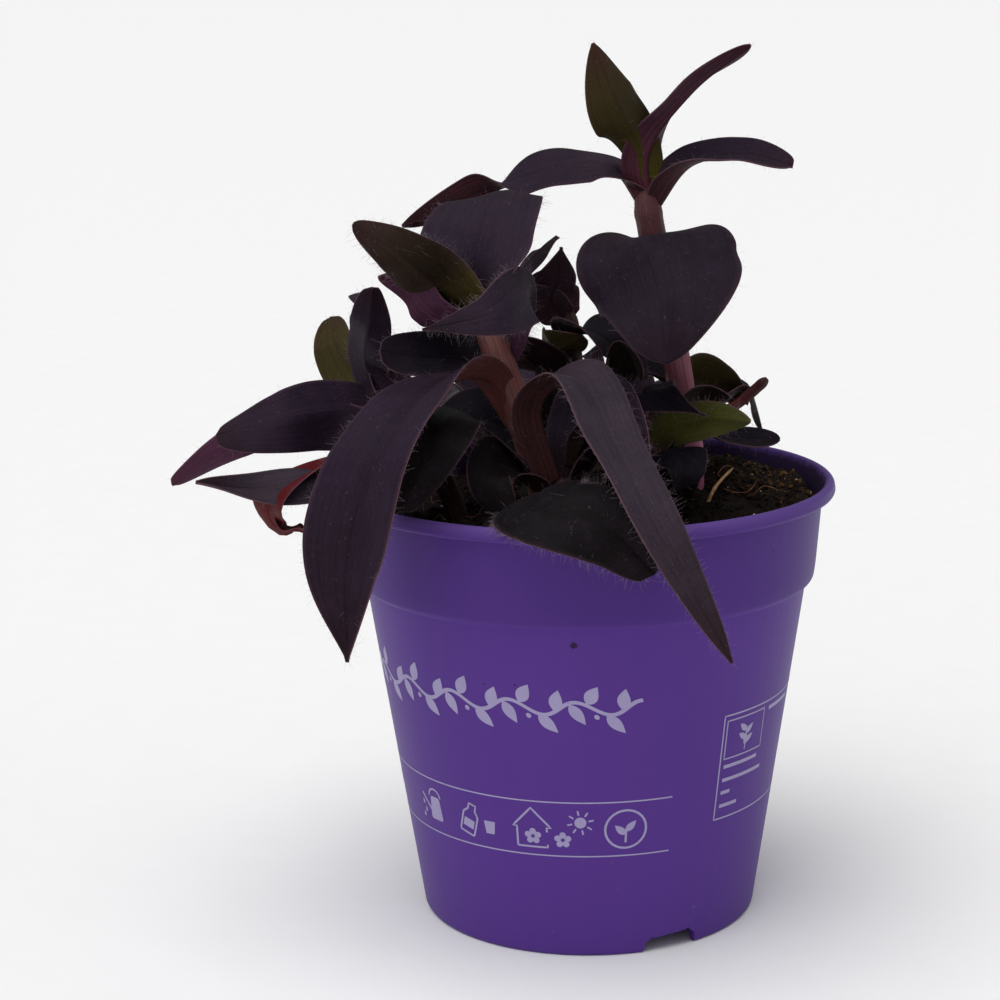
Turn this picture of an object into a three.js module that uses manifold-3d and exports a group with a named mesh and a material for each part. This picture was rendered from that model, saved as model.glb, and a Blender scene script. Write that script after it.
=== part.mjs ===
// A purple heart plant in a printed 12 cm nursery pot, in millimetres, +Z up.
// The origin is the middle of the pot's underside and -Y is the side facing the viewer.
// Every leaf is a blade swept along its own midrib. It grows out of the stem it belongs to
// and ends a hair's breadth short of it, and of each older leaf it would pass through.

import * as THREE from 'three';
import { mergeVertices } from 'three/addons/utils/BufferGeometryUtils.js';
import Module from 'manifold-3d';

const wasm = await Module();
wasm.setup();

// Pot: tapered body, a taller collar with a rounded shoulder, and a rolled lip.
const POT_HEIGHT = 106.8;
const LIP_R = 60.3;
const LIP_BOTTOM = 103.4;
const COLLAR_TOP_R = 57.2;
const COLLAR_LOW_R = 55.7;
const SHOULDER_Z = 82.3;
const BODY_TOP_R = 53.4;
const FOOT_R = 40.9;
const WALL = 1.0;
const FLOOR_UNDER = 5;
const FLOOR_TOP = 6.2;
const FOOT_RING = 2.2;
const DISH_R = 9;
const DISH_FLOOR = 1.3;
const POT_SEGMENTS = 44;

// Three arches in the foot ring let water out, and the floor has a ring of drain holes.
const NOTCH_COUNT = 3;
const NOTCH_FIRST = 28;
const NOTCH_WIDTH = 14.5;
const NOTCH_HEIGHT = 4.4;
const DRAIN_COUNT = 6;
const DRAIN_RING_R = 25;
const DRAIN_R = 3.5;

// Soil: fills the pot to about a centimetre below the rim, and lies higher at the back right.
const SOIL_Z = 98.5;
const SOIL_BUMP = 1.2;
const SOIL_TILT_X = 0.065;
const SOIL_TILT_Y = 0.055;
const GAP = 0.3;

// Blades: thickness at the midrib and at the edge, and points across a blade.
const RIB_THICK = 1.1;
const EDGE_THICK = 0.7;
const ACROSS = 4;

const DARK_PURPLE = 0x3a2f42;
const PLUM = 0x4a3350;
const NAVY = 0x2c2b3c;
const OLIVE = 0x5a5238;
const WINE = 0x5a2c3a;
const BLADE_GREEN = 0x66703c;
const STEM_PINK = 0x9a4a72;

const group = new THREE.Group();
group.name = 'potted_purple_heart';

function solidOf(geometry) {
  const bare = geometry.clone();
  bare.deleteAttribute('normal');
  bare.deleteAttribute('uv');
  const merged = mergeVertices(bare, 1e-4);
  const vertProperties = new Float32Array(merged.attributes.position.array);
  const triVerts = new Uint32Array(merged.index.array);
  return new wasm.Manifold(new wasm.Mesh({ numProp: 3, vertProperties, triVerts }));
}

function geometryOf(solid) {
  const mesh = solid.getMesh();
  const geometry = new THREE.BufferGeometry();
  geometry.setAttribute('position', new THREE.BufferAttribute(new Float32Array(mesh.vertProperties), 3));
  geometry.setIndex(new THREE.BufferAttribute(new Uint32Array(mesh.triVerts), 1));
  geometry.computeVertexNormals();
  return geometry;
}

// The biggest body of a solid, so that a cut never leaves a loose sliver.
function mainBody(solid) {
  const bodies = solid.decompose();
  bodies.sort((a, b) => b.volume() - a.volume());
  return bodies[0];
}

function add(name, solid, colour, roughness) {
  const material = new THREE.MeshStandardMaterial({ color: colour, roughness, metalness: 0 });
  const mesh = new THREE.Mesh(geometryOf(solid), material);
  mesh.name = name;
  group.add(mesh);
}

function polar(radius, degrees, z) {
  const a = THREE.MathUtils.degToRad(degrees);
  return new THREE.Vector3(radius * Math.sin(a), -radius * Math.cos(a), z);
}

function latheSolid(profile, segments) {
  const points = profile.map(([r, z]) => new THREE.Vector2(r, z));
  const lathe = new THREE.LatheGeometry(points, segments);
  lathe.rotateX(Math.PI / 2);
  const solid = solidOf(lathe);
  if (solid.volume() > 0) {
    return solid;
  }
  const index = lathe.index;
  for (let i = 0; i < index.count; i += 3) {
    const a = index.getX(i);
    index.setX(i, index.getX(i + 1));
    index.setX(i + 1, a);
  }
  return solidOf(lathe);
}

function pot() {
  const profile = [
    [0, 0], [DISH_R, 0], [DISH_R + 5, FLOOR_UNDER], [FOOT_R - FOOT_RING - 0.4, FLOOR_UNDER],
    [FOOT_R - FOOT_RING, 0], [FOOT_R - 0.7, 0], [FOOT_R, 0.8],
    [BODY_TOP_R, SHOULDER_Z], [COLLAR_LOW_R - 0.5, SHOULDER_Z + 0.9], [COLLAR_LOW_R, SHOULDER_Z + 4.2],
    [COLLAR_TOP_R, LIP_BOTTOM - 0.3], [LIP_R - 0.5, LIP_BOTTOM], [LIP_R, LIP_BOTTOM + 0.8],
    [LIP_R - 0.3, POT_HEIGHT - 0.8], [LIP_R - 1.2, POT_HEIGHT], [LIP_R - 2.2, POT_HEIGHT - 0.2],
    [COLLAR_TOP_R - WALL, LIP_BOTTOM - 1.5], [COLLAR_LOW_R - WALL, SHOULDER_Z + 4],
    [BODY_TOP_R - WALL, SHOULDER_Z - 0.6], [FOOT_R - WALL + 0.8, FLOOR_TOP],
    [DISH_R + 4.5, FLOOR_TOP], [DISH_R - 0.5, DISH_FLOOR], [0, DISH_FLOOR],
  ];
  let solid = latheSolid(profile, POT_SEGMENTS);
  for (let i = 0; i < NOTCH_COUNT; i++) {
    const angle = NOTCH_FIRST + i * 360 / NOTCH_COUNT;
    const arch = new THREE.Shape();
    arch.moveTo(-NOTCH_WIDTH / 2, -2);
    arch.lineTo(NOTCH_WIDTH / 2, -2);
    arch.lineTo(NOTCH_WIDTH / 2 - 0.6, NOTCH_HEIGHT - 1.6);
    arch.lineTo(NOTCH_WIDTH / 2 - 2.6, NOTCH_HEIGHT);
    arch.lineTo(-NOTCH_WIDTH / 2 + 2.4, NOTCH_HEIGHT - 0.5);
    arch.lineTo(-NOTCH_WIDTH / 2 + 0.6, NOTCH_HEIGHT - 1.8);
    const cutter = new THREE.ExtrudeGeometry(arch, { depth: FOOT_RING + 3, bevelEnabled: false, steps: 1 });
    cutter.rotateX(Math.PI / 2);
    cutter.translate(0, -(FOOT_R - FOOT_RING - 1.2), 0);
    cutter.rotateZ(THREE.MathUtils.degToRad(angle));
    solid = solid.subtract(solidOf(cutter));
  }
  for (let i = 0; i < DRAIN_COUNT; i++) {
    const drain = new THREE.CylinderGeometry(DRAIN_R, DRAIN_R, 6, 8);
    drain.rotateX(Math.PI / 2);
    const at = polar(DRAIN_RING_R, i * 360 / DRAIN_COUNT, FLOOR_TOP);
    drain.translate(at.x, at.y, at.z);
    solid = solid.subtract(solidOf(drain));
  }
  return solid;
}

function soilHeight(x, y) {
  const r = Math.hypot(x, y);
  const bumps = Math.sin(x * 0.31 + y * 0.17) + Math.sin(y * 0.43 - x * 0.11 + 1.3) + Math.sin(x * 0.71 + 2.1);
  return SOIL_Z + SOIL_TILT_X * x + SOIL_TILT_Y * y + SOIL_BUMP * 0.45 * bumps - 0.0004 * r * r;
}

function wallRadius(z) {
  if (z > SHOULDER_Z + 4) {
    const t = (z - SHOULDER_Z - 4) / (LIP_BOTTOM - 1.5 - SHOULDER_Z - 4);
    return COLLAR_LOW_R - WALL + t * (COLLAR_TOP_R - COLLAR_LOW_R);
  }
  const t = Math.max(0, (z - FLOOR_TOP) / (SHOULDER_Z - 0.6 - FLOOR_TOP));
  const low = FOOT_R - WALL + 0.8;
  return low + Math.min(1, t) * (BODY_TOP_R - WALL - low);
}

function soil() {
  const profile = [[0, DISH_FLOOR + GAP], [DISH_R - 1, DISH_FLOOR + GAP], [DISH_R + 4.2, FLOOR_TOP + GAP]];
  profile.push([wallRadius(FLOOR_TOP) - GAP - 0.3, FLOOR_TOP + GAP]);
  profile.push([wallRadius(SHOULDER_Z - 0.6) - GAP - 0.1, SHOULDER_Z - 0.6]);
  profile.push([wallRadius(SHOULDER_Z + 4.01) - GAP - 0.1, SHOULDER_Z + 4.6]);
  profile.push([wallRadius(SOIL_Z - 1) - GAP - 0.1, SOIL_Z - 1]);
  for (const r of [48, 40, 31, 21, 10, 0]) {
    profile.push([r, SOIL_Z]);
  }
  const points = profile.map(([r, z]) => new THREE.Vector2(r, z));
  const lathe = new THREE.LatheGeometry(points, 26);
  lathe.rotateX(Math.PI / 2);
  const position = lathe.attributes.position;
  for (let i = 0; i < position.count; i++) {
    if (position.getZ(i) > SOIL_Z - 1.5) {
      const x = position.getX(i);
      const y = position.getY(i);
      const z = soilHeight(x, y);
      const edge = Math.hypot(x, y) > 50 ? (wallRadius(z) - GAP - 0.1) / Math.hypot(x, y) : 1;
      position.setXYZ(i, x * edge, y * edge, z);
    }
  }
  return lathe;
}

// A round stalk along a smooth path, its radius running from foot to top.
function stalk(points, radiusLow, radiusTop, sides, steps, grow) {
  const curve = new THREE.CatmullRomCurve3(points.map((p) => new THREE.Vector3(...p)), false, 'centripetal');
  const path = curve.getSpacedPoints(steps);
  const vertices = [];
  const index = [];
  for (let i = 0; i <= steps; i++) {
    const ahead = path[Math.min(i + 1, steps)].clone().sub(path[Math.max(i - 1, 0)]).normalize();
    const side = new THREE.Vector3(1, 0, 0).addScaledVector(ahead, -ahead.x).normalize();
    const other = new THREE.Vector3().crossVectors(ahead, side);
    const radius = radiusLow + (radiusTop - radiusLow) * i / steps + grow;
    let centre = path[i];
    if (i === 0) {
      centre = centre.clone().addScaledVector(ahead, -grow);
    }
    if (i === steps) {
      centre = centre.clone().addScaledVector(ahead, grow);
    }
    for (let k = 0; k < sides; k++) {
      const a = k / sides * Math.PI * 2;
      const v = centre.clone().addScaledVector(side, radius * Math.cos(a));
      v.addScaledVector(other, radius * Math.sin(a));
      vertices.push(v.x, v.y, v.z);
    }
  }
  for (let i = 0; i < steps; i++) {
    for (let k = 0; k < sides; k++) {
      const a = i * sides + k;
      const b = i * sides + (k + 1) % sides;
      index.push(a, b, b + sides, a, b + sides, a + sides);
    }
  }
  for (let k = 1; k < sides - 1; k++) {
    index.push(0, k + 1, k);
    const top = steps * sides;
    index.push(top, top + k, top + k + 1);
  }
  const geometry = new THREE.BufferGeometry();
  geometry.setAttribute('position', new THREE.Float32BufferAttribute(vertices, 3));
  geometry.setIndex(index);
  return solidOf(geometry);
}

// A value that eases through a short list from the leaf's base to its tip.
function ease(list, t) {
  const x = t * (list.length - 1);
  const i = Math.min(Math.floor(x), list.length - 2);
  const f = x - i;
  const s = f * f * (3 - 2 * f);
  return list[i] * (1 - s) + list[i + 1] * s;
}

// Share of the full width at t: from the base, out to the widest place, and in to the tip.
function outline(t, shape) {
  if (t < shape.widest) {
    return shape.base + (1 - shape.base) * Math.sin(Math.PI / 2 * t / shape.widest) ** 1.3;
  }
  return Math.max(0, Math.cos(Math.PI / 2 * (t - shape.widest) / (1 - shape.widest))) ** shape.tip;
}

// A blade: its midrib runs through the points, roll turns it about the midrib,
// fold lifts both halves like a book, and cup bends each half on towards its edge.
function blade(points, shape, grow) {
  const knots = points.map((p) => new THREE.Vector3(...p));
  const curve = new THREE.CatmullRomCurve3(knots, false, 'centripetal');
  const steps = Math.max(7, Math.min(13, Math.round(curve.getLength() / 6)));
  const path = curve.getSpacedPoints(steps);
  const first = knots[0];
  const last = knots[knots.length - 1];
  const heading = Math.atan2(last.y - first.y, last.x - first.x);
  const level = new THREE.Vector3(-Math.sin(heading), Math.cos(heading), 0);
  const upper = [];
  const lower = [];
  for (let i = 0; i <= steps; i++) {
    const t = i / steps;
    const ahead = path[Math.min(i + 1, steps)].clone().sub(path[Math.max(i - 1, 0)]).normalize();
    const flat = level.clone().addScaledVector(ahead, -level.dot(ahead)).normalize();
    const up = new THREE.Vector3().crossVectors(ahead, flat);
    const roll = THREE.MathUtils.degToRad(ease(shape.roll, t));
    const side = flat.clone().multiplyScalar(Math.cos(roll)).addScaledVector(up, Math.sin(roll));
    const face = up.clone().multiplyScalar(Math.cos(roll)).addScaledVector(flat, -Math.sin(roll));
    const fold = THREE.MathUtils.degToRad(ease(shape.fold, t));
    const cup = THREE.MathUtils.degToRad(ease(shape.cup, t));
    const half = Math.max(shape.width / 2 * outline(t, shape), 0.35) + grow;
    for (let j = 0; j <= ACROSS; j++) {
      const v = j / ACROSS * 2 - 1;
      const s = Math.abs(v);
      const sign = Math.sign(v);
      let out = 0;
      let lift = 0;
      for (let k = 0; k < 12; k++) {
        const angle = fold + cup * (k + 0.5) / 12 * s;
        out += Math.cos(angle) * s * half / 12;
        lift += Math.sin(angle) * s * half / 12;
      }
      const bend = fold + cup * s;
      const normal = face.clone().multiplyScalar(Math.cos(bend)).addScaledVector(side, -sign * Math.sin(bend));
      const thick = (RIB_THICK + (EDGE_THICK - RIB_THICK) * s) / 2 + grow;
      const middle = path[i].clone().addScaledVector(side, sign * out).addScaledVector(face, lift);
      upper.push(middle.clone().addScaledVector(normal, thick));
      lower.push(middle.clone().addScaledVector(normal, -thick));
    }
  }
  const vertices = [...upper, ...lower].flatMap((v) => [v.x, v.y, v.z]);
  const row = ACROSS + 1;
  const under = upper.length;
  const index = [];
  for (let i = 0; i < steps; i++) {
    for (let j = 0; j < ACROSS; j++) {
      const a = i * row + j;
      const b = a + row;
      if (j < ACROSS / 2) {
        index.push(a, b, b + 1, a, b + 1, a + 1);
        index.push(under + a, under + b + 1, under + b, under + a, under + a + 1, under + b + 1);
      } else {
        index.push(a, b, a + 1, b, b + 1, a + 1);
        index.push(under + a, under + a + 1, under + b, under + b, under + a + 1, under + b + 1);
      }
    }
    const left = i * row;
    const right = left + ACROSS;
    index.push(left, under + left, left + row, under + left, under + left + row, left + row);
    index.push(right, right + row, under + right, right + row, under + right + row, under + right);
  }
  for (let j = 0; j < ACROSS; j++) {
    const end = steps * row + j;
    index.push(j, j + 1, under + j, j + 1, under + j + 1, under + j);
    index.push(end, under + end, end + 1, under + end, under + end + 1, end + 1);
  }
  const geometry = new THREE.BufferGeometry();
  geometry.setAttribute('position', new THREE.Float32BufferAttribute(vertices, 3));
  geometry.setIndex(index);
  return solidOf(geometry);
}

// Stems: path from the root end in the soil to the growing tip, radius low and at the top.
const STEMS = {
  tall: { points: [[27, 10, 70], [26, 9, 97], [25, 8, 116], [22, 7, 138], [18, 6, 158], [15, 6, 175]], low: 3.7, top: 3 },
  front: { points: [[-5, -7, 70], [-8, -8, 97], [-13, -9, 118], [-19, -9, 135], [-23, -8, 147]], low: 4.4, top: 3 },
  left: { points: [[-26, 0, 72], [-31, 2, 97], [-37, 3, 112], [-43, 3, 125]], low: 2.9, top: 2.2 },
  low_front: { points: [[-2, -17, 76], [-4, -18, 97], [-5, -18, 110]], low: 2.8, top: 2.2 },
  low_right: { points: [[14, -8, 76], [17, -9, 97], [18, -9, 117]], low: 2.7, top: 2.1 },
  middle: { points: [[0, 16, 74], [-1, 18, 97], [-2, 20, 124], [-3, 21, 144]], low: 2.7, top: 1.9 },
  back_right: { points: [[15, 28, 78], [16, 30, 97], [17, 32, 116]], low: 2.5, top: 2 },
  back_left: { points: [[-18, 25, 78], [-20, 28, 97], [-23, 31, 117]], low: 2.5, top: 2 },
};

// Leaves, oldest first on each stem. Each row: name, stem, colour, midrib points, then
// width, place of the widest point, width at the base, bluntness of the tip, roll, fold and cup.
const LEAVES = [
  ['leaf_tall_heart', 'tall', DARK_PURPLE, [[18, 7, 159], [16, -15, 166], [19, -31, 155], [19, -39, 140]],
    39.5, 0.42, 0.23, 0.52, [-4, 16, 21], [37, -22, 24], [-7, -10, -9]],
  ['leaf_tall_left', 'tall', PLUM, [[15, 8, 169], [7, 10, 180.5], [-4, 14, 180.5], [-15, 18, 177], [-30, 20, 171], [-44, 18, 166]],
    15, 0.42, 0.6, 0.7, [9, -25, -35, 50, 70], [60, -5, 5, 30, 15], [1, -15, -5, 5, 0]],
  ['leaf_tall_right', 'tall', PLUM, [[18, 6, 170], [26, 4, 181], [38, 4, 183], [49, -6, 181]],
    12, 0.2, 0.6, 0.36, [28, 26, 34], [70, 7, 9], [23, 22, 17]],
  ['leaf_tall_up_right', 'tall', WINE, [[16, 5, 173], [16, 6, 184], [26, 4, 198], [39, -8, 209]],
    12, 0.16, 0.6, 0.53, [-53, 3, -30], [36, 27, 0], [-11, -18, 26]],
  ['leaf_tall_up_left', 'tall', OLIVE, [[15, 6, 176], [13, 5, 186], [8, -6, 197], [3, -10, 210]],
    15, 0.52, 0.64, 0.8, [2, 67, 61], [42, 10, 35], [1, 28, 0]],
  ['leaf_tall_low_right', 'tall', OLIVE, [[25, 9, 118], [25, 16, 128], [32, 19, 126], [41, 24, 120]],
    16, 0.33, 0.47, 0.73, [-43, -66, -26], [47, -22, 15], [-22, 11, -14]],
  ['leaf_tall_low_back', 'tall', WINE, [[26, 12, 112], [35, 18, 122], [40, 21, 124], [44, 17, 114]],
    12, 0.39, 0.45, 0.74, [11, -3, 39], [55, 14, -1], [-14, 17, -19]],
  ['leaf_tall_behind', 'tall', NAVY, [[24, 11, 122], [16, 18, 131], [8, 22, 135], [0, 26, 132]],
    16, 0.45, 0.5, 0.8, [0, -25, -25], [50, 12, 6], [8, 6, 4]],

  ['leaf_front_long_left', 'front', DARK_PURPLE, [[-15, -8, 120], [-22, -16, 133], [-34, -34, 134], [-45, -54, 122], [-52, -54, 98], [-53, -58, 77]],
    23.5, 0.73, 0.3, 1.07, [43, -1, -20], [38, 29, 23], [-10, -24, 19]],
  ['leaf_front_behind', 'front', NAVY, [[-20, -8, 136], [-30, -9, 137], [-39, -17, 139], [-47, -21, 141]],
    16, 0.21, 0.45, 0.35, [-52, -32, -62], [45, 14, 3], [8, 2, 1]],
  ['leaf_front_young', 'front', PLUM, [[-20, -6, 139], [-13, -13, 152], [-21, -36, 151], [-36, -36, 148]],
    14, 0.46, 0.81, 1.16, [-63, -66, -39], [46, -22, 19], [16, 25, -22]],
  ['leaf_front_magenta', 'front', WINE, [[-22, -5, 141], [-35, -14, 150], [-39, -13, 154], [-47, -18, 158]],
    13.4, 0.3, 0.36, 0.59, [3, 29, 46], [68, -17, 14], [13, 17, 3]],
  ['leaf_front_olive', 'front', OLIVE, [[-23, -10, 145], [-33, -16, 155], [-42, -34, 166], [-51, -35, 172]],
    17, 0.15, 0.47, 0.52, [9, 50, 80], [16, 9, 14], [-27, 28, 6]],
  ['leaf_front_upright', 'front', PLUM, [[-23, -7, 146], [-25, -8, 159], [-23, -4, 169], [-20, 2, 175], [-18, 9, 175]],
    29, 0.4, 0.42, 0.3, [2, -4, -6], [50, 11, -14], [24, -7, -8]],

  ['leaf_left_low', 'left', PLUM, [[-36, 4, 109], [-58, -24, 113], [-76, -27, 110], [-90, -28, 112]],
    16, 0.17, 0.56, 0.66, [-28, -25, -53], [33, -21, 34], [28, -28, 26]],
  ['leaf_left_curled', 'left', WINE, [[-37, 2, 112], [-61, -20, 113], [-72, -27, 108], [-73, -22, 101], [-65, -28, 100]],
    14, 0.39, 0.7, 0.49, [22, 11, -3], [16, 27, -5], [25, -17, -11]],
  ['leaf_left_far', 'left', WINE, [[-38, 3, 115], [-69, 2, 121], [-84, -2, 116], [-101, 4, 105]],
    10.4, 0.3, 0.43, 0.36, [4, 80, 52], [52, 23, -1], [1, -23, 24]],
  ['leaf_left_broad', 'left', DARK_PURPLE, [[-40, 2, 119], [-57, 0, 123], [-72, -10, 123], [-88, -7, 119]],
    18.4, 0.22, 0.37, 0.36, [8, -73, -38], [24, -22, 6], [26, 10, -28]],
  ['leaf_left_olive', 'left', OLIVE, [[-42, 5, 122], [-57, 17, 131], [-61, 16, 138], [-62, 18, 144]],
    18.5, 0.3, 0.75, 0.36, [0, 80, 90], [5, -22, 8], [9, 7, -28]],
  ['leaf_left_upright', 'left', DARK_PURPLE, [[-43, 1, 124], [-52, 5, 133], [-50, -10, 147], [-49, -14, 155]],
    13.4, 0.15, 0.62, 0.36, [34, -34, 42], [22, 7, 12], [-34, -7, 17]],
  ['leaf_left_tip', 'left', PLUM, [[-43, 5, 127], [-51, 9, 140], [-52, 3, 149], [-57, 18, 149]],
    5, 0.15, 0.4, 0.36, [-4, -46, -14], [10, -22, 27], [8, -28, -3]],

  ['leaf_rim_front', 'low_front', NAVY, [[-5, -18, 104], [-10, -44, 112], [-9, -61, 112], [6, -66, 108], [15, -68, 99]],
    21, 0.52, 0.85, 0.36, [1, 21, 33], [0, 9, 21], [-14, -28, -25]],
  ['leaf_inner_round', 'low_front', NAVY, [[-9, -17, 105], [-20, -23, 115], [-22, -36, 114], [-17, -40, 106]],
    13.6, 0.15, 0.45, 0.36, [-38, -54, -6], [25, 2, -8], [6, 28, 0]],
  ['leaf_inner_left', 'low_front', NAVY, [[-8, -17, 107], [-26, -17, 124], [-32, -43, 125], [-41, -48, 109]],
    13, 0.7, 0.3, 0.4, [-36, -10, -50], [21, -11, -22], [-28, 23, -2]],
  ['leaf_front_long_right', 'low_front', DARK_PURPLE, [[-6, -18, 109], [-10, -23, 128], [-2, -33, 136], [7, -56, 124], [16, -73, 109], [31, -75, 81]],
    15.5, 0.41, 0.7, 0.75, [31, -7, 13], [47, 9, 3], [-1, -1, 22]],
  ['leaf_right_curl', 'low_front', WINE, [[-3, -16, 112], [5, -22, 132], [12, -38, 127], [15, -43, 117]],
    8, 0.2, 0.46, 0.78, [2, 63, 36], [24, -16, 24], [19, -16, 28]],
  ['leaf_inner_brown', 'low_front', WINE, [[-4, -15, 108], [-1, -10, 119], [1, -6, 130], [4, -3, 138]],
    16, 0.4, 0.5, 0.8, [0, 8, 20], [50, 12, 10], [10, 6, 4]],

  ['leaf_low_right_round', 'low_right', NAVY, [[18, -11, 104], [20, -21, 117], [23, -29, 114], [21, -30, 109]],
    18.7, 0.38, 0.83, 0.79, [-24, 14, -13], [21, -4, 3], [-5, -21, -11]],
  ['leaf_low_right_grey', 'low_right', NAVY, [[19, -9, 109], [26, -10, 119], [35, -13, 118], [46, -14, 118]],
    13, 0.37, 0.44, 0.5, [-16, 5, 28], [13, 3, 5], [13, 18, 0]],
  ['leaf_low_right_green', 'low_right', BLADE_GREEN, [[18, -10, 111], [18, -11, 118], [28, -20, 124], [38, -28, 125]],
    9.6, 0.49, 0.44, 0.59, [-71, -88, -73], [13, -21, 35], [-3, 3, -24]],
  ['leaf_low_right_blue', 'low_right', NAVY, [[17, -8, 115], [15, -9, 129], [16, -19, 130], [28, -27, 126]],
    12.8, 0.45, 0.59, 1.4, [-46, 28, 57], [7, -16, 30], [15, -16, 20]],
  ['leaf_low_right_top', 'low_right', OLIVE, [[19, -6, 115], [25, -2, 126], [29, 0, 127], [35, -2, 126]],
    7.4, 0.5, 0.3, 0.36, [-34, -45, -41], [0, -22, -6], [10, 26, 1]],

  ['leaf_middle_old', 'middle', OLIVE, [[1, 13, 120], [8, 7, 129], [11, -2, 138], [14, -11, 132]],
    10, 0.24, 0.42, 0.36, [-14, -9, -50], [65, -22, 28], [12, 28, 17]],
  ['leaf_middle_fill', 'middle', WINE, [[-4, 18, 124], [-11, 11, 132], [-17, 3, 138], [-22, 2, 137]],
    15, 0.4, 0.5, 0.8, [10, 30, 30], [45, 12, 8], [8, 6, 4]],
  ['leaf_middle_low_left', 'middle', NAVY, [[-3, 16, 104], [-14, 9, 114], [-27, 8, 120], [-39, 10, 117]],
    24, 0.45, 0.6, 0.8, [0, -35, -35], [45, 10, 5], [8, 5, 4]],
  ['leaf_middle_low_front', 'middle', WINE, [[-3, 15, 108], [-6, 8, 117], [-9, 5, 126], [-11, 6, 133]],
    14, 0.45, 0.5, 0.7, [0, -5, -5], [45, 10, 5], [8, 5, 4]],
  ['leaf_middle_low_right', 'middle', NAVY, [[1, 15, 105], [4, 5, 115], [5, -3, 119], [6, -12, 117]],
    13, 0.45, 0.5, 0.8, [0, 10, 10], [45, 10, 5], [8, 5, 4]],
  ['leaf_middle_green', 'middle', BLADE_GREEN, [[-2, 19, 128], [-6, 19, 133], [-6, 11, 136], [0, 7, 140]],
    14.5, 0.21, 0.35, 0.36, [-1, -18, -5], [43, 42, -8], [17, 14, 7]],
  ['leaf_middle_blue', 'middle', NAVY, [[-2, 20, 136], [0, 14, 140], [5, 8, 139], [11, 5, 133]],
    18, 0.4, 0.5, 0.9, [0, -8, 10], [40, 12, 4], [8, 10, 6]],
  ['leaf_middle_wine', 'middle', WINE, [[-3, 22, 142], [-8, 20, 147], [-6, 16, 153], [-5, 11, 161]],
    15, 0.15, 0.45, 1.1, [12, 8, 6], [13, 28, 0], [23, -9, 12]],
  ['leaf_middle_thin', 'middle', PLUM, [[-3, 21, 144], [-16, 22, 151], [-10, 23, 159], [-6, 26, 162]],
    10.6, 0.16, 0.43, 0.36, [33, 70, 85], [50, -10, 8], [3, 27, -7]],

  ['leaf_back_right_a', 'back_right', DARK_PURPLE, [[17, 34, 112], [18, 48, 121], [20, 64, 116], [21, 73, 98]],
    19, 0.4, 0.5, 0.9, [0, 6, 10], [45, 12, 6], [10, 5, 5]],
  ['leaf_back_right_b', 'back_right', PLUM, [[19, 31, 114], [29, 38, 121], [40, 46, 116]],
    14, 0.4, 0.5, 0.8, [0, 10, 10], [50, 12, 8], [10, 5, 5]],
  ['leaf_back_right_c', 'back_right', DARK_PURPLE, [[15, 31, 116], [9, 36, 130], [3, 42, 136]],
    13, 0.4, 0.5, 0.8, [0, 0, 0], [50, 16, 10], [10, 5, 5]],
  ['leaf_back_left_a', 'back_left', DARK_PURPLE, [[-24, 33, 112], [-30, 46, 121], [-39, 61, 114], [-43, 67, 98]],
    19, 0.4, 0.5, 0.9, [0, -6, -8], [45, 12, 6], [10, 5, 5]],
  ['leaf_back_left_b', 'back_left', PLUM, [[-22, 33, 115], [-16, 46, 126], [-10, 60, 122]],
    16, 0.4, 0.5, 0.8, [0, 8, 8], [50, 12, 8], [10, 5, 5]],
  ['leaf_back_left_c', 'back_left', WINE, [[-25, 30, 116], [-34, 31, 127], [-44, 35, 130]],
    13, 0.4, 0.5, 0.8, [0, 0, 0], [50, 16, 10], [10, 5, 5]],
];

// A withered flower stalk on the tall stem, cut off short, and a straw stuck in the soil.
const CUT_STALK = { points: [[26, 10, 115], [33, 12, 119], [38, 13, 122], [45, 13, 128]], low: 1.1, top: 1.2 };
const STRAW = { points: [[28, -9, 94], [29, -6, 97], [32, 2, 101], [37, 12, 105]], low: 0.5, top: 0.45 };

const grownStems = {};
for (const [name, stem] of Object.entries(STEMS)) {
  add('stem_' + name, stalk(stem.points, stem.low, stem.top, 8, 7, 0), STEM_PINK, 0.5);
  grownStems[name] = stalk(stem.points, stem.low, stem.top, 8, 7, GAP);
}
const cutStalk = stalk(CUT_STALK.points, CUT_STALK.low, CUT_STALK.top, 6, 5, 0).subtract(grownStems.tall);
const grownCut = stalk(CUT_STALK.points, CUT_STALK.low, CUT_STALK.top, 6, 5, GAP);
add('cut_flower_stalk', mainBody(cutStalk), WINE, 0.6);

const grownLeaves = [];
for (const [name, stem, colour, points, width, widest, base, tip, roll, fold, cup] of LEAVES) {
  const shape = { width, widest, base, tip, roll, fold, cup };
  let solid = blade(points, shape, 0).subtract(grownCut);
  for (const grown of Object.values(grownStems)) {
    solid = solid.subtract(grown);
  }
  for (const other of grownLeaves) {
    if (other.stem === stem) {
      solid = solid.subtract(other.solid);
    }
  }
  grownLeaves.push({ stem, solid: blade(points, shape, GAP) });
  add(name, mainBody(solid), colour, 0.55);
}

let earth = solidOf(soil());
for (const grown of Object.values(grownStems)) {
  earth = earth.subtract(grown);
}
earth = earth.subtract(stalk(STRAW.points, STRAW.low, STRAW.top, 6, 6, GAP));
add('soil', mainBody(earth), 0x3b2a1e, 0.95);
add('straw', stalk(STRAW.points, STRAW.low, STRAW.top, 6, 6, 0), 0xb08a58, 0.8);
add('pot', pot(), 0x54397f, 0.42);

export default group;
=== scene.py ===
"""A purple heart plant in a printed nursery pot.

Lengths are in millimetres up to the moment a mesh is made, which is in metres.
The leaf and stem points are the ones that the frame's own solids are swept along.
"""

import math

import bpy
import numpy as np
from mathutils import Matrix, Vector


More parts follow.
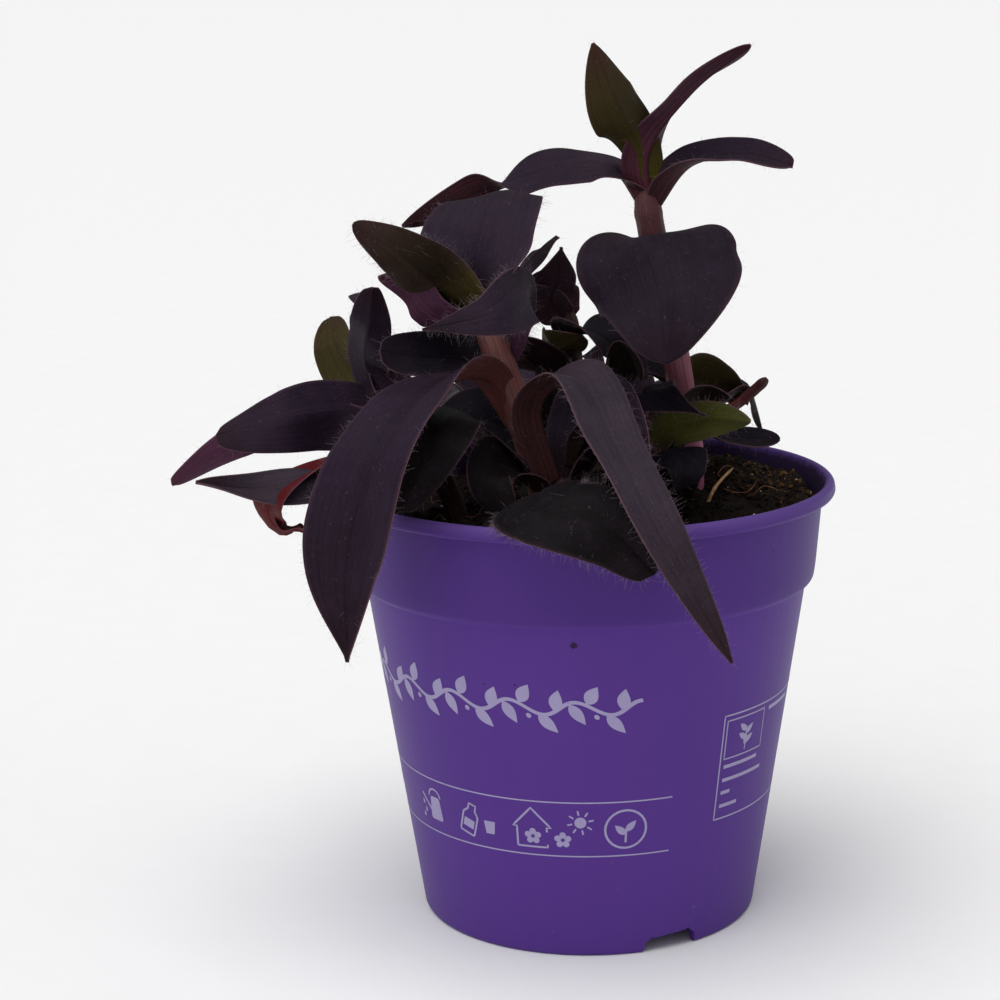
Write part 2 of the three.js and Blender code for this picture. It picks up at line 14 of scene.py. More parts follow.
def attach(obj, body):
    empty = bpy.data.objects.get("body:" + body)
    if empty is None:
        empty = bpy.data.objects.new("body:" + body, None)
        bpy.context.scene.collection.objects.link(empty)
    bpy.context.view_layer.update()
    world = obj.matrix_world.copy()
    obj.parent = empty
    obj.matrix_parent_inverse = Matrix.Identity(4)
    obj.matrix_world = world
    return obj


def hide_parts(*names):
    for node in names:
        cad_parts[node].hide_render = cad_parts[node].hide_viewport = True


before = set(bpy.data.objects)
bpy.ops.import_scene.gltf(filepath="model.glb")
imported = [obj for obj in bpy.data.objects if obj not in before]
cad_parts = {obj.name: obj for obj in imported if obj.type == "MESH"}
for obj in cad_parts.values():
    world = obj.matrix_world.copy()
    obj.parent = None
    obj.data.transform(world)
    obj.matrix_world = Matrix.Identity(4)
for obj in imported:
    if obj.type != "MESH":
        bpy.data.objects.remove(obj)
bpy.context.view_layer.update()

MM = 0.001

# The pot, as in the frame.
BODY_TOP_R = 53.4
FOOT_R = 40.9
SHOULDER_Z = 82.3
WALL_SLOPE = 0.0904
POT_SEGMENTS = 176
POT_PROFILE = [
    (0, 0), (9, 0, 1), (14, 5, 1.5), (38.3, 5, 0.4), (38.7, 0, 0.4), (40.2, 0, 0.3), (40.9, 0.8, 0.5),
    (53.4, 82.3, 0.35), (55.2, 83.2, 1.1), (55.7, 86.5, 1.2), (57.2, 103.1, 0.5), (59.8, 103.4, 0.7),
    (60.3, 104.2, 0.6), (60.0, 106.0, 0.8), (59.1, 106.8, 0.7), (58.1, 106.6, 0.8), (56.2, 101.9, 2),
    (54.7, 86.3, 2), (52.4, 81.7, 2), (40.7, 6.2, 1.2), (13.5, 6.2, 1), (8.5, 1.3, 1), (0, 1.3)]
NOTCHES = (28, 148, 268)
DRAIN_COUNT = 6
DRAIN_R = 3.5
DRAIN_PLACE_R = 25
PRINT_LIFT = 0.05

# Half a blade's thickness at its midrib and near its edge, and how far the edge is rounded out.
RIB_HALF = 0.42
SIDE_HALF = 0.20
EDGE_ROUND = 0.16

# A hair's radius at root and tip, hairs on a square metre of leaf edge, stem and flower stalk, and
# the share of the edge's hairs on a leaf's upper face and underside.
HAIR_ROOT = 0.021
HAIR_TIP = 0.008
EDGE_HAIRS = 4.2e6
STEM_HAIRS = 0.16e6
STALK_HAIRS = 0.3e6
UPPER_SHARE = 0.0012
UNDER_SHARE = 0.007

# The soil's level at the pot's axis, the crust on it, its crumbs and heap, and the bits of root.
SOIL_LEVEL = 98.5
CRUST_LIFT = 0.45
CRUMB_R = 0.52
CRUMBS = 0.75e6
HEAP_HEIGHT = 2.6
FIBRE_COUNT = 16
FIBRE_REACH = 52.5

# The studio: its lamps' names, places, widths in degrees and strengths, and the camera's place.
FLOOR_MIDDLE = 1000.0
FLOOR_REACH = 250000.0
WORLD_LIGHT = 0.28
LIGHTS = [
    ("overhead", (-0.15, -0.20, 1.0), 60, 2.05),
    ("front", (-0.6, -1.0, 0.5), 60, 0.42),
    ("side", (1.0, -0.4, 0.5), 50, 0.12),
]
LENS = 87.3
SENSOR = 36
CLIP = (0.05, 600)
CAMERA_PLACE = (0.0, -0.575482, 0.224053)
CAMERA_RIGHT = (0.99933603, 0.03193944, -0.01753202)
CAMERA_UP = (0.0104654, 0.20928183, 0.97779936)


def angles(count):
    """Evenly spaced angles round a circle."""
    return np.arange(count) / count * 2 * np.pi


def rgb(red, green, blue):
    """A colour of 0 to 255 in linear light."""
    def linear(c):
        c /= 255
        return c / 12.92 if c <= 0.04045 else ((c + 0.055) / 1.055) ** 2.4
    return (linear(red), linear(green), linear(blue), 1.0)


# Node trees
class Val:
    """A node's output that can be added, multiplied and compared like a number."""

    def __init__(self, kit, socket):
        self.kit = kit
        self.socket = socket

    def __add__(self, other):
        return self.kit.math("ADD", self, other)

    def __radd__(self, other):
        return self.kit.math("ADD", other, self)

    def __sub__(self, other):
        return self.kit.math("SUBTRACT", self, other)

    def __rsub__(self, other):
        return self.kit.math("SUBTRACT", other, self)

    def __mul__(self, other):
        return self.kit.math("MULTIPLY", self, other)

    def __rmul__(self, other):
        return self.kit.math("MULTIPLY", other, self)

    def most(self, other):
        return self.kit.math("MAXIMUM", self, other)

    def least(self, other):
        return self.kit.math("MINIMUM", self, other)

    def step(self, low, high, start=0.0, end=1.0):
        """Runs smoothly from start to end as the value goes from low to high."""
        inputs = {0: self, 1: low, 2: high, 3: start, 4: end}
        return self.kit.node("ShaderNodeMapRange", {"interpolation_type": "SMOOTHSTEP"}, inputs)


class Nodes:
    """A node tree, and one way of adding nodes to it."""

    def __init__(self, tree):
        self.tree = tree

    def node(self, kind, settings=None, inputs=None, output=0):
        """Adds a node. Each of its inputs is a plain value or another node's output."""
        made = self.tree.nodes.new(kind)
        for key, value in (settings or {}).items():
            setattr(made, key, value)
        for key, value in (inputs or {}).items():
            self.put(made.inputs[key], value)
        return Val(self, made.outputs[output])

    def put(self, socket, value):
        if isinstance(value, Val):
            self.tree.links.new(value.socket, socket)
        else:
            socket.default_value = value

    def math(self, operation, *values, kind="ShaderNodeMath", output=0):
        return self.node(kind, {"operation": operation}, dict(enumerate(values)), output)

    def vector_math(self, operation, *values, output=0):
        return self.math(operation, *values, kind="ShaderNodeVectorMath", output=output)


class Kit(Nodes):
    """The node tree of one material."""

    def __init__(self, name, **constants):
        self.material = bpy.data.materials.new(name)
        self.material.use_nodes = True
        super().__init__(self.material.node_tree)
        self.tree.nodes.clear()
        self.shader = self.tree.nodes.new("ShaderNodeBsdfPrincipled")
        end = self.tree.nodes.new("ShaderNodeOutputMaterial")
        self.tree.links.new(self.shader.outputs[0], end.inputs[0])
        for socket, value in constants.items():
            self.shader.inputs[socket.replace("_", " ")].default_value = value

    def place(self):
        """Where a point is on the object, in metres."""
        return self.node("ShaderNodeTexCoord", output=3)

    def blade_place(self):
        """How far a point is across and along a leaf or stem."""
        return self.parts(self.node("ShaderNodeUVMap", {"uv_map": "Blade"}))

    def attribute(self, name, output=2):
        return self.node("ShaderNodeAttribute", {"attribute_name": name}, output=output)

    def parts(self, vector):
        split = self.node("ShaderNodeSeparateXYZ", None, {0: vector}).socket.node
        return [Val(self, split.outputs[i]) for i in range(3)]

    def vector(self, x, y, z=0.0):
        return self.node("ShaderNodeCombineXYZ", None, {0: x, 1: y, 2: z})

    def noise(self, vector, scale, detail=2.0, rough=0.5):
        inputs = {"Vector": vector, "Scale": scale, "Detail": detail, "Roughness": rough}
        return self.node("ShaderNodeTexNoise", None, inputs)

    def mix(self, first, second, share):
        return self.node("ShaderNodeMix", {"data_type": "RGBA"}, {0: share, 6: first, 7: second}, 2)

    def coats(self, colour, *coats):
        """Lays colours over one another, each with its share."""
        for red, green, blue, share in coats:
            colour = self.mix(colour, rgb(red, green, blue), share)
        return colour

    def finish(self, colour, rough=None, height=None, strength=0.0, depth=0.0):
        """Sets colour, roughness and relief, and returns the material."""
        self.put(self.shader.inputs["Base Color"], colour)
        if rough is not None:
            self.put(self.shader.inputs["Roughness"], rough)
        if height is not None:
            inputs = {"Strength": strength, "Distance": depth, "Height": height}
            self.put(self.shader.inputs["Normal"], self.node("ShaderNodeBump", None, inputs))
        return self.material


# Materials
def leaf_material():
    kit = Kit("leaf_skin", Specular_IOR_Level=0.07, Sheen_Weight=0.025, Sheen_Roughness=0.4,
              Sheen_Tint=rgb(206, 186, 210))
    across, along, _ = kit.blade_place()
    spot = kit.place()
    under = kit.attribute("under")
    veins = kit.noise(kit.vector(across * 1.1, along * 0.016), 1.0, 4.0, 0.62)
    fine = kit.noise(kit.vector(across * 4.2, along * 0.07), 1.0, 2.0, 0.6)
    cloud = kit.noise(spot, 80.0, 4.0, 0.6)
    grain = kit.noise(spot, 1100.0, 3.0, 0.65)
    dust = kit.noise(spot, 1500.0, 1.0, 0.5).step(0.70, 0.78)
    film = kit.noise(spot, 260.0, 4.0, 0.75).step(0.40, 0.75)
    light = (veins * 0.85 + fine * 0.35 + cloud * 0.60 + (grain - 0.5) * 0.50 - 0.08).most(0.15)
    soft = (kit.attribute("rim") - 0.2 + (grain - 0.5) * 0.4).step(0.35, 0.95)
    colour = kit.coats(
        kit.mix(rgb(0, 0, 0), kit.attribute("tone", 0), light),
        (104, 84, 112, film * (0.045 - under * 0.02)),
        (168, 158, 166, dust * 0.10),
        (112, 56, 66, veins.step(0.50, 0.66) * 0.26 * kit.attribute("blush")),
        (88, 62, 74, soft * 0.30),
        (134, 100, 108, kit.attribute("edge") * 0.42))
    rough = (0.52 + fine * 0.14 + film * 0.10).least(0.9)
    return kit.finish(colour, rough, veins * 0.9 + fine * 0.4 + grain * 0.3 + cloud * 0.6, 0.6, 0.00045)


def stem_material():
    kit = Kit("stem_skin", Specular_IOR_Level=0.28)
    across, along, _ = kit.blade_place()
    lines = kit.noise(kit.vector(across * 1.6, along * 0.02), 1.0, 3.0, 0.6)
    thin = kit.noise(kit.vector(across * 5.0, along * 0.07), 1.0, 2.0, 0.5)
    cloud = kit.noise(kit.place(), 140.0, 3.0, 0.6)
    light = 0.40 + lines * 0.75 + thin * 0.28 + cloud * 0.24
    colour = kit.coats(
        kit.mix(rgb(0, 0, 0), kit.attribute("tone", 0), light),
        (158, 128, 112, lines.step(0.52, 0.70) * 0.34),
        (96, 34, 58, lines.step(0.46, 0.32) * 0.40))
    return kit.finish(colour, 0.44 + thin * 0.2, lines + thin * 0.5, 0.5, 0.0004)


def hair_material():
    kit = Kit("hair", Roughness=0.55)
    light = kit.noise(kit.place(), 700.0, 1.0)
    return kit.finish(kit.mix(rgb(98, 80, 90), rgb(156, 142, 150), light))


def dry_material(name, dark, light, scale):
    kit = Kit(name, Specular_IOR_Level=0.25)
    spot = kit.place()
    lines = kit.noise(spot, scale, 4.0, 0.65)
    fleck = kit.noise(spot, scale * 5, 2.0, 0.6)
    colour = kit.mix(dark, light, (lines * 0.75 + fleck * 0.35).step(0.3, 0.75))
    return kit.finish(colour, 0.72 + fleck * 0.2, lines + fleck * 0.6, 0.6, 0.0006)


def crumb_material():
    """Soil crumbs: dark brown peat, golden fibre clumps and a few pale bits."""
    kit = Kit("crumbs", Specular_IOR_Level=0.2)
    spot = kit.place()
    shade = kit.attribute("shade")
    x, y, _ = kit.parts(spot)
    grain = kit.noise(spot, 1500.0, 3.0, 0.7)
    golden = (x * 22.0 + y * 14.0).step(0.85, 1.35)
    colour = kit.coats(
        kit.mix(rgb(9, 5, 3), rgb(40, 23, 12), shade),
        (104, 72, 36, golden * shade.step(0.35, 0.8)),
        (196, 180, 160, shade.step(0.975, 0.98)),
        (6, 4, 3, grain.step(0.62, 0.3) * 0.55))
    return kit.finish(colour, 0.75 + grain * 0.2, grain, 0.8, 0.0004)


def soil_material():
    kit = Kit("soil_ground", Specular_IOR_Level=0.2)
    spot = kit.place()
    lumps = kit.noise(spot, 260.0, 5.0, 0.7)
    fleck = kit.noise(spot, 1300.0, 3.0, 0.7)
    colour = kit.mix(rgb(6, 3, 2), rgb(32, 19, 12), (lumps * 0.8 + fleck * 0.3).step(0.35, 0.8))
    return kit.finish(colour, 0.82 + fleck * 0.15, lumps + fleck * 0.5, 0.9, 0.0012)


def pot_material():
    kit = Kit("pot_plastic", Specular_IOR_Level=0.10)
    spot = kit.place()
    x, y, z = kit.parts(spot)
    grain = kit.noise(spot, 2600.0, 2.0, 0.5)
    cloud = kit.noise(spot, 30.0, 3.0, 0.5)
    turn = kit.math("ARCTAN2", x, -1.0 * y)
    streak = kit.noise(kit.vector(turn * 9.0, z * 6.0), 1.0, 3.0, 0.55)
    dusty = kit.noise(spot, 420.0, 4.0, 0.65)
    low = z.step(0.030, 0.004)
    # The top band of the lip: it gets more dust specks, and a painted highlight below.
    rim = z.step(0.1035, 0.1062)
    speck = dusty.step(0.68, 0.74)
    spots = None
    for degrees, radius, height, size in POT_SPOTS:
        centre = [v * MM for v in polar(degrees, radius, height)]
        away = kit.vector_math("DISTANCE", spot, centre, output=1)
        mark = (away + (dusty - 0.5) * size * 0.9).step(size * 0.55, size, 1.0, 0.0)
        spots = mark if spots is None else spots.most(mark)
    # The wall above the soil is darker in patches on its inner side, most near the soil, up to just under
    # the lip.
    away = kit.vector_math("LENGTH", kit.vector(x, y), output=1)
    wall = z * WALL_SLOPE + (0.0552 - 0.0865 * WALL_SLOPE) + z.step(0.1028, 0.1034) * 0.0018
    inside = (wall - away).step(-0.0001, 0.0001) * z.step(0.088, 0.090)
    inner_wall_dark = inside * (dusty * 1.2 - (z - 0.1058) * 480.0).least(1.0).most(0.25)
    colour = kit.coats(
        kit.mix(rgb(81, 49, 133), rgb(90, 57, 142), cloud * 0.7 + streak * 0.4),
        (120, 104, 128, speck * (0.10 + low * 0.35 + rim * 0.25)),
        # Painted shade: the collar above the shoulder is darker, for the shade the leaves cast on it.
        (60, 37, 102, z.step(0.0825, 0.0845) * 0.38),
        # Painted highlight: the top of the lip is lighter, as if lit from above.
        (112, 92, 150, rim * 0.30),
        (44, 28, 40, spots * 0.85),
        (24, 15, 17, inner_wall_dark * 0.85))
    rough = (0.40 + cloud * 0.08 + speck * 0.25 + spots * 0.3 + inner_wall_dark * 0.3).least(0.95)
    return kit.finish(colour, rough, grain * 0.3 + streak * 0.8 + spots * 0.5, 0.18, 0.0005)


def print_material():
    kit = Kit("print_ink", Specular_IOR_Level=0.4)
    spot = kit.place()
    wear = kit.noise(spot, 900.0, 3.0, 0.7)
    cloud = kit.noise(spot, 160.0, 2.0, 0.5)
    colour = kit.coats(
        kit.mix(rgb(150, 140, 182), rgb(166, 157, 196), cloud),
        (104, 82, 148, wear.step(0.62, 0.78) * 0.7))
    return kit.finish(colour, 0.46 + wear * 0.12, wear, 0.1, 0.0002)


def floor_material():
    kit = Kit("floor_paper", Roughness=0.8, Specular_IOR_Level=0.07)
    fibre = kit.noise(kit.place(), 60.0, 3.0, 0.5)
    return kit.finish(kit.mix(rgb(248, 248, 248), rgb(252, 252, 252), fibre))


# Meshes
def make_object(name, points, faces, materials, smooth=True):
    mesh = bpy.data.meshes.new(name)
    mesh.from_pydata([tuple(p) for p in np.asarray(points) * MM], [], faces)
    mesh.polygons.foreach_set("use_smooth", [smooth] * len(mesh.polygons))
    made = bpy.data.objects.new(name, mesh)
    bpy.context.scene.collection.objects.link(made)
    for material in materials:
        mesh.materials.append(material)
    return made


def point_values(made, name, values):
    kind = "FLOAT" if np.ndim(values) == 1 else "FLOAT_COLOR"
    field = "value" if kind == "FLOAT" else "color"
    layer = made.data.attributes.new(name, kind, "POINT")
    layer.data.foreach_set(field, np.asarray(values, np.float32).ravel())


def point_uv(made, name, uv):
    layer = made.data.uv_layers.new(name=name)
    loops = np.zeros(len(made.data.loops), np.int32)
    made.data.loops.foreach_get("vertex_index", loops)
    layer.data.foreach_set("uv", np.asarray(uv, np.float32)[loops].ravel())


def loft(rings, close_ends=True, ends=None):
    """Faces between rings of equal length, and a fan over each end. Returns points and faces."""
    rings = np.asarray(rings)
    count, around = rings.shape[:2]
    faces = []
    for i in range(count - 1):
        for k in range(around):
            n = (k + 1) % around
            a = i * around
            b = a + around
            faces.append((a + k, a + n, b + n, b + k))
    points = rings.reshape(-1, 3)
    if close_ends:
        points = np.vstack([points, *(ends or (rings[0].mean(0), rings[-1].mean(0)))])
        first = count * around
        last = (count - 1) * around
        for k in range(around):
            n = (k + 1) % around
            faces.append((first, n, k))
            faces.append((first + 1, last + k, last + n))
    return points, faces


def spline(knots, steps):
    """Evenly spaced points on a smooth curve through the knots, and its length."""
    knots = np.asarray(knots, float)
    padded = np.vstack([2 * knots[0] - knots[1], knots, 2 * knots[-1] - knots[-2]])
    dense = []
    for a, b, c, d in zip(padded, padded[1:], padded[2:], padded[3:]):
        t1 = np.linalg.norm(b - a) ** 0.5
        t2 = t1 + np.linalg.norm(c - b) ** 0.5
        t3 = t2 + np.linalg.norm(d - c) ** 0.5
        t = np.linspace(t1, t2, 40, endpoint=False)[:, None]
        ab = (t1 - t) / t1 * a + t / t1 * b
        bc = (t2 - t) / (t2 - t1) * b + (t - t1) / (t2 - t1) * c
        cd = (t3 - t) / (t3 - t2) * c + (t - t2) / (t3 - t2) * d
        abc = (t2 - t) / t2 * ab + t / t2 * bc
        bcd = (t3 - t) / (t3 - t1) * bc + (t - t1) / (t3 - t1) * cd
        dense.append((t2 - t) / (t2 - t1) * abc + (t - t1) / (t2 - t1) * bcd)
    dense = np.vstack([*dense, knots[-1:]])
    run = np.concatenate([[0], np.cumsum(np.linalg.norm(np.diff(dense, axis=0), axis=1))])
    even = np.linspace(0, run[-1], steps + 1)
    return np.stack([np.interp(even, run, dense[:, k]) for k in range(3)], 1), run[-1]


def ease(values, t):
    """A value that eases through a short list from a leaf's base to its tip."""
    values = np.asarray(values, float)
    x = t * (len(values) - 1)
    i = np.clip(np.floor(x).astype(int), 0, len(values) - 2)
    f = x - i
    f = f * f * (3 - 2 * f)
    if values.ndim == 2:
        f = f[:, None]
    return values[i] * (1 - f) + values[i + 1] * f


def unit(vectors):
    return vectors / np.linalg.norm(vectors, axis=1)[:, None]


def directions(path):
    return unit(np.gradient(path, axis=0))


def outline(t, widest, base, tip):
    rise = base + (1 - base) * np.sin(np.pi / 2 * np.clip(t / widest, 0, 1)) ** 1.3
    fall = np.cos(np.pi / 2 * np.clip((t - widest) / (1 - widest), 0, 1)) ** tip
    return np.where(t < widest, rise, fall)


def blade(knots, sizes, roll, fold, cup, seed, steps=72, across=22):
    """A leaf as a loft of closed cross sections, with what its skin needs to know at each point."""
    width, widest, base, tip = sizes
    path, length = spline(knots, steps)
    t = np.linspace(0, 1, steps + 1)
    ahead = directions(path)
    turn = math.atan2(knots[-1][1] - knots[0][1], knots[-1][0] - knots[0][0])
    level = np.array([-math.sin(turn), math.cos(turn), 0.0])
    side = unit(level - (ahead @ level)[:, None] * ahead)
    face = np.cross(ahead, side)
    r = np.radians(ease(roll, t))[:, None]
    side, face = side * np.cos(r) + face * np.sin(r), face * np.cos(r) - side * np.sin(r)
    half = np.maximum(width / 2 * outline(t, widest, base, tip), 0.3)
    lift_base = np.radians(ease(fold, t))
    bend = np.radians(ease(cup, t))
    phase = np.random.default_rng(seed).uniform(0, 6.28, 8)
    share = (np.arange(12) + 0.5) / 12
    taper = np.sin(np.pi * np.clip(t, 0.02, 0.98)) ** 0.5
    over = np.linspace(-1, 1, across + 1)
    upper, lower, edges = [], [], []
    for v in over:
        s = abs(v)
        angle = lift_base[:, None] + bend[:, None] * share[None] * s
        out = np.cos(angle).mean(1) * s * half
        up = np.sin(angle).mean(1) * s * half
        ripple = np.sin(length / 9 * t * 2 + phase[0] + (v > 0) * 2)
        ripple = ripple + np.sin(length / 5 * t + phase[1] - (v > 0))
        up = up + 0.20 * s ** 3 * ripple * taper * min(1, width / 14)
        dimple = np.sin(v * 5 + phase[2] + 3 * t) * np.sin(length / 7 * t + phase[3])
        up = up + 0.10 * dimple * taper * np.minimum(1, half / 6) * (1 - s ** 4)
        tilt = lift_base + bend * s
        normal = face * np.cos(tilt)[:, None] - side * (np.sign(v) * np.sin(tilt))[:, None]
        middle = path + side * (np.sign(v) * out)[:, None] + face * up[:, None]
        rib = math.exp(-(v / 0.07) ** 2)
        thick = RIB_HALF + (SIDE_HALF - RIB_HALF) * s ** 1.4
        upper.append(middle + normal * (thick - 0.22 * rib))
        lower.append(middle - normal * (thick + 0.25 * rib))
        if s == 1:
            outward = side * (np.sign(v) * np.cos(tilt))[:, None] + face * np.sin(tilt)[:, None]
            edges.append(middle + outward * EDGE_ROUND)
    rings = np.stack([*upper, edges[1], *lower[::-1], edges[0]], 1)[:, ::-1]
    points, faces = loft(rings)
    none = [0] * (across + 1)
    v = np.array([*over, 1, *over[::-1], -1])[::-1]
    info = {
        "length": length, "width": width, "t": t, "v": v, "rim": np.abs(v) ** 6,
        "edge": np.array([*none, 1, *none, 1])[::-1],
        "under": np.array([*none, 0.5, *[1] * (across + 1), 0.5])[::-1],
    }
    return points, faces, info


def spread(info, values):
    """One value per loop position, repeated on every ring and given to the two end points."""
    rings = np.repeat(np.asarray(values, float)[None], len(info["t"]), 0).ravel()
    return np.concatenate([rings, [values[0], values[0]]])


def leaf_tones(info, top, under):
    """Broad colour of each face of a leaf: a base, a middle and a tip colour."""
    runs = []
    for palette in (top, under):
        base, middle, tip = (np.array(rgb(*c)) for c in palette)
        stops = [base, middle * 0.7 + base * 0.3, middle, middle, middle * 0.75 + tip * 0.25, tip]
        runs.append(ease(stops, info["t"])[:, None])
    share = np.repeat(info["under"][None], len(info["t"]), 0)[..., None]
    tones = runs[0] * (1 - share) + runs[1] * share
    return np.vstack([tones.reshape(-1, 4), tones[0].mean(0), tones[-1].mean(0)])


def tube(name, knots, low, high, swell, colours, materials, steps=90, sides=24, wobble=0.05, seed=1):
    """A stem: round, with slight ridges, and thicker at each (position, amount) in swell."""
    path, length = spline(knots, steps)
    t = np.linspace(0, 1, steps + 1)
    ahead = directions(path)
    side = unit(np.array([1.0, 0, 0]) - ahead[:, :1] * ahead)
    other = np.cross(ahead, side)
    swelling = np.zeros(steps + 1)
    for place, amount in swell:
        gap = (t - place) * length
        ring = np.exp(-(gap / 1.8) ** 2)
        sheath = np.exp(-((gap + 5) / 5) ** 2) * 0.6
        swelling = np.maximum(swelling, amount * np.maximum(ring, sheath))
    radius = low + (high - low) * t + swelling
    radius[-5:] *= np.array([0.98, 0.93, 0.84, 0.68, 0.4])
    phase = np.random.default_rng(seed).uniform(0, 6.28, 3)
    rings, uv, turns = [], [], angles(sides)
    ridge = 1 + wobble * (np.sin(turns * 5 + phase[0]) * 0.5 + np.sin(turns * 9 + phase[1]) * 0.3)
    for i in range(steps + 1):
        out = np.cos(turns)[:, None] * side[i] + np.sin(turns)[:, None] * other[i]
        rings.append(path[i] + out * (radius[i] * ridge)[:, None])
        uv.append(np.stack([np.abs(turns - np.pi) * low, np.full(sides, t[i] * length)], 1))
    points, faces = loft(rings)
    made = make_object(name, points, faces, materials)
    point_uv(made, "Blade", np.vstack([*uv, [[0, 0]], [[0, length]]]))
    tone = ease(np.array([rgb(*c) for c in colours]), t)
    tone = np.vstack([np.repeat(tone, sides, 0), tone[:1], tone[-1:]])
    point_values(made, "tone", tone)
    return made


# Hairs and crumbs, scattered over a mesh
class Graph(Nodes):
    """A geometry node tree with a density, a length and a seed."""

    def __init__(self, name):
        super().__init__(bpy.data.node_groups.new(name, "GeometryNodeTree"))
        sockets = [("Geometry", "INPUT", "Geometry"), ("Density", "INPUT", "Float"),
                   ("Length", "INPUT", "Float"), ("Seed", "INPUT", "Int"),
                   ("Geometry", "OUTPUT", "Geometry")]
        for label, way, kind in sockets:
            self.tree.interface.new_socket(label, in_out=way, socket_type="NodeSocket" + kind)
        given = self.tree.nodes.new("NodeGroupInput").outputs
        self.mesh, self.density, self.length, self.seed = (Val(self, given[i]) for i in range(4))

    def scale(self, vector, share):
        return self.node("ShaderNodeVectorMath", {"operation": "SCALE"}, {0: vector, "Scale": share})

    def draw(self, low, high, seed):
        """A random number, or a random vector, for each point."""
        kind, at = ("FLOAT_VECTOR", (0, 1, 0)) if isinstance(low, tuple) else ("FLOAT", (2, 3, 1))
        inputs = {at[0]: low, at[1]: high, "Seed": seed}
        return self.node("FunctionNodeRandomValue", {"data_type": kind}, inputs, at[2])

    def scatter(self, density):
        """Points on the mesh, and the mesh's normal at each."""
        inputs = {"Mesh": self.mesh, "Density": density, "Seed": self.seed}
        settings = {"distribute_method": "RANDOM"}
        points = self.node("GeometryNodeDistributePointsOnFaces", settings, inputs)
        return points, Val(self, points.socket.node.outputs["Normal"])

    def copies(self, points, shape, turn, size):
        inputs = {"Points": points, "Instance": shape, "Rotation": turn, "Scale": size}
        return self.node("GeometryNodeInstanceOnPoints", None, inputs)

    def dressed(self, copies, material):
        real = self.node("GeometryNodeRealizeInstances", None, {"Geometry": copies})
        return self.node("GeometryNodeSetMaterial", None, {"Geometry": real, "Material": material})

    def end(self, geometry):
        self.put(self.tree.nodes.new("NodeGroupOutput").inputs[0], geometry)
        return self.tree


def hair_tree(material):
    """Fine hairs where the mesh's hairy value is high. They stand off the surface and lean a little."""
    graph = Graph("hairs")
    hairy = graph.node("GeometryNodeInputNamedAttribute", {"data_type": "FLOAT"}, {"Name": "hairy"})
    points, normal = graph.scatter(hairy * graph.density)
    lean = graph.draw((-0.75,) * 3, (0.75,) * 3, 3)
    aim = graph.vector_math("ADD", normal, lean)
    turn = graph.node("FunctionNodeAlignRotationToVector", {"axis": "Z"}, {"Vector": aim})
    inputs = {"Vertices": 3, "Radius Top": HAIR_TIP * MM, "Radius Bottom": HAIR_ROOT * MM, "Depth": MM}
    cone = graph.node("GeometryNodeMeshCone", {"fill_type": "NGON"}, inputs)
    long = graph.draw(0.35, 1.35, 5) * graph.length
    size = graph.node("ShaderNodeCombineXYZ", None, {0: 1.0, 1: 1.0, 2: long})
    hairs = graph.dressed(graph.copies(points, cone, turn, size), material)
    both = graph.node("GeometryNodeJoinGeometry", None, {0: hairs})
    graph.put(both.socket.node.inputs[0], graph.mesh)
    return graph.end(both)


def crumb_tree(material):
    """Lumpy crumbs of many sizes, most of them small, that lie on the surface."""
    graph = Graph("crumbs")
    points, _ = graph.scatter(graph.density)
    ball = graph.node("GeometryNodeMeshIcoSphere", None, {"Radius": CRUMB_R * MM, "Subdivisions": 1})
    inputs = {"Vector": graph.node("GeometryNodeInputPosition"), "Scale": 2600.0, "Detail": 1.0}
    lump = graph.node("ShaderNodeTexNoise", None, inputs, "Color")
    middle = graph.vector_math("SUBTRACT", lump, (0.5,) * 3)
    inputs = {"Geometry": ball, "Offset": graph.scale(middle, 0.9 * MM)}
    rough = graph.node("GeometryNodeSetPosition", None, inputs)
    rare = graph.math("POWER", graph.draw(0.0, 1.0, 11), 3.0)
    wide = graph.math("MULTIPLY_ADD", rare, 1.5, 0.45) * graph.length
    size = graph.scale(graph.draw((0.6,) * 3, (1.5, 1.2, 0.95), 12), wide)
    spin = graph.draw((0.0,) * 3, (6.28,) * 3, 13)
    inputs = {"Geometry": graph.copies(points, rough, spin, size), "Name": "shade",
              "Value": graph.draw(0.0, 1.0, 14)}
    settings = {"data_type": "FLOAT", "domain": "INSTANCE"}
    stored = graph.node("GeometryNodeStoreNamedAttribute", settings, inputs)
    return graph.end(graph.dressed(stored, material))


def grow(made, tree, **values):
    """Runs a node tree on an object and keeps the result as its mesh."""
    modifier = made.modifiers.new(tree.name, "NODES")
    modifier.node_group = tree
    for item in tree.interface.items_tree:
        if item.in_out == "INPUT" and item.name in values:
            modifier[item.identifier] = values[item.name]
    settle(made)


def settle(made):
    """Keeps an object's mesh as its modifiers leave it, and takes them off."""
    graph = bpy.context.evaluated_depsgraph_get()
    done = made.evaluated_get(graph)
    mesh = bpy.data.meshes.new_from_object(done, preserve_all_data_layers=True, depsgraph=graph)
    made.modifiers.clear()
    old = made.data
    made.data = mesh
    mesh.name = made.name
    bpy.data.meshes.remove(old)


def belongs(made, slot, *nodes):
    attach(made, "root")
    if nodes:
        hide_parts(*nodes)


# The pot
def polar(degrees, radius, z):
    a = math.radians(degrees)
    return (radius * math.sin(a), -radius * math.cos(a), z)


def body_radius(z):
    return FOOT_R + (BODY_TOP_R - FOOT_R) * (z - 0.8) / (SHOULDER_Z - 0.8)


# Dark marks on the wall: degrees round the pot, radius, height, and size in metres.
POT_SPOTS = [
    (-3.0, body_radius(78.9), 78.9, 0.0010),
    (-27.1, body_radius(68.1), 68.1, 0.00028),
    (-18.4, body_radius(68.7), 68.7, 0.00034),
    (49.0, 56.4, 96.4, 0.00035),
]


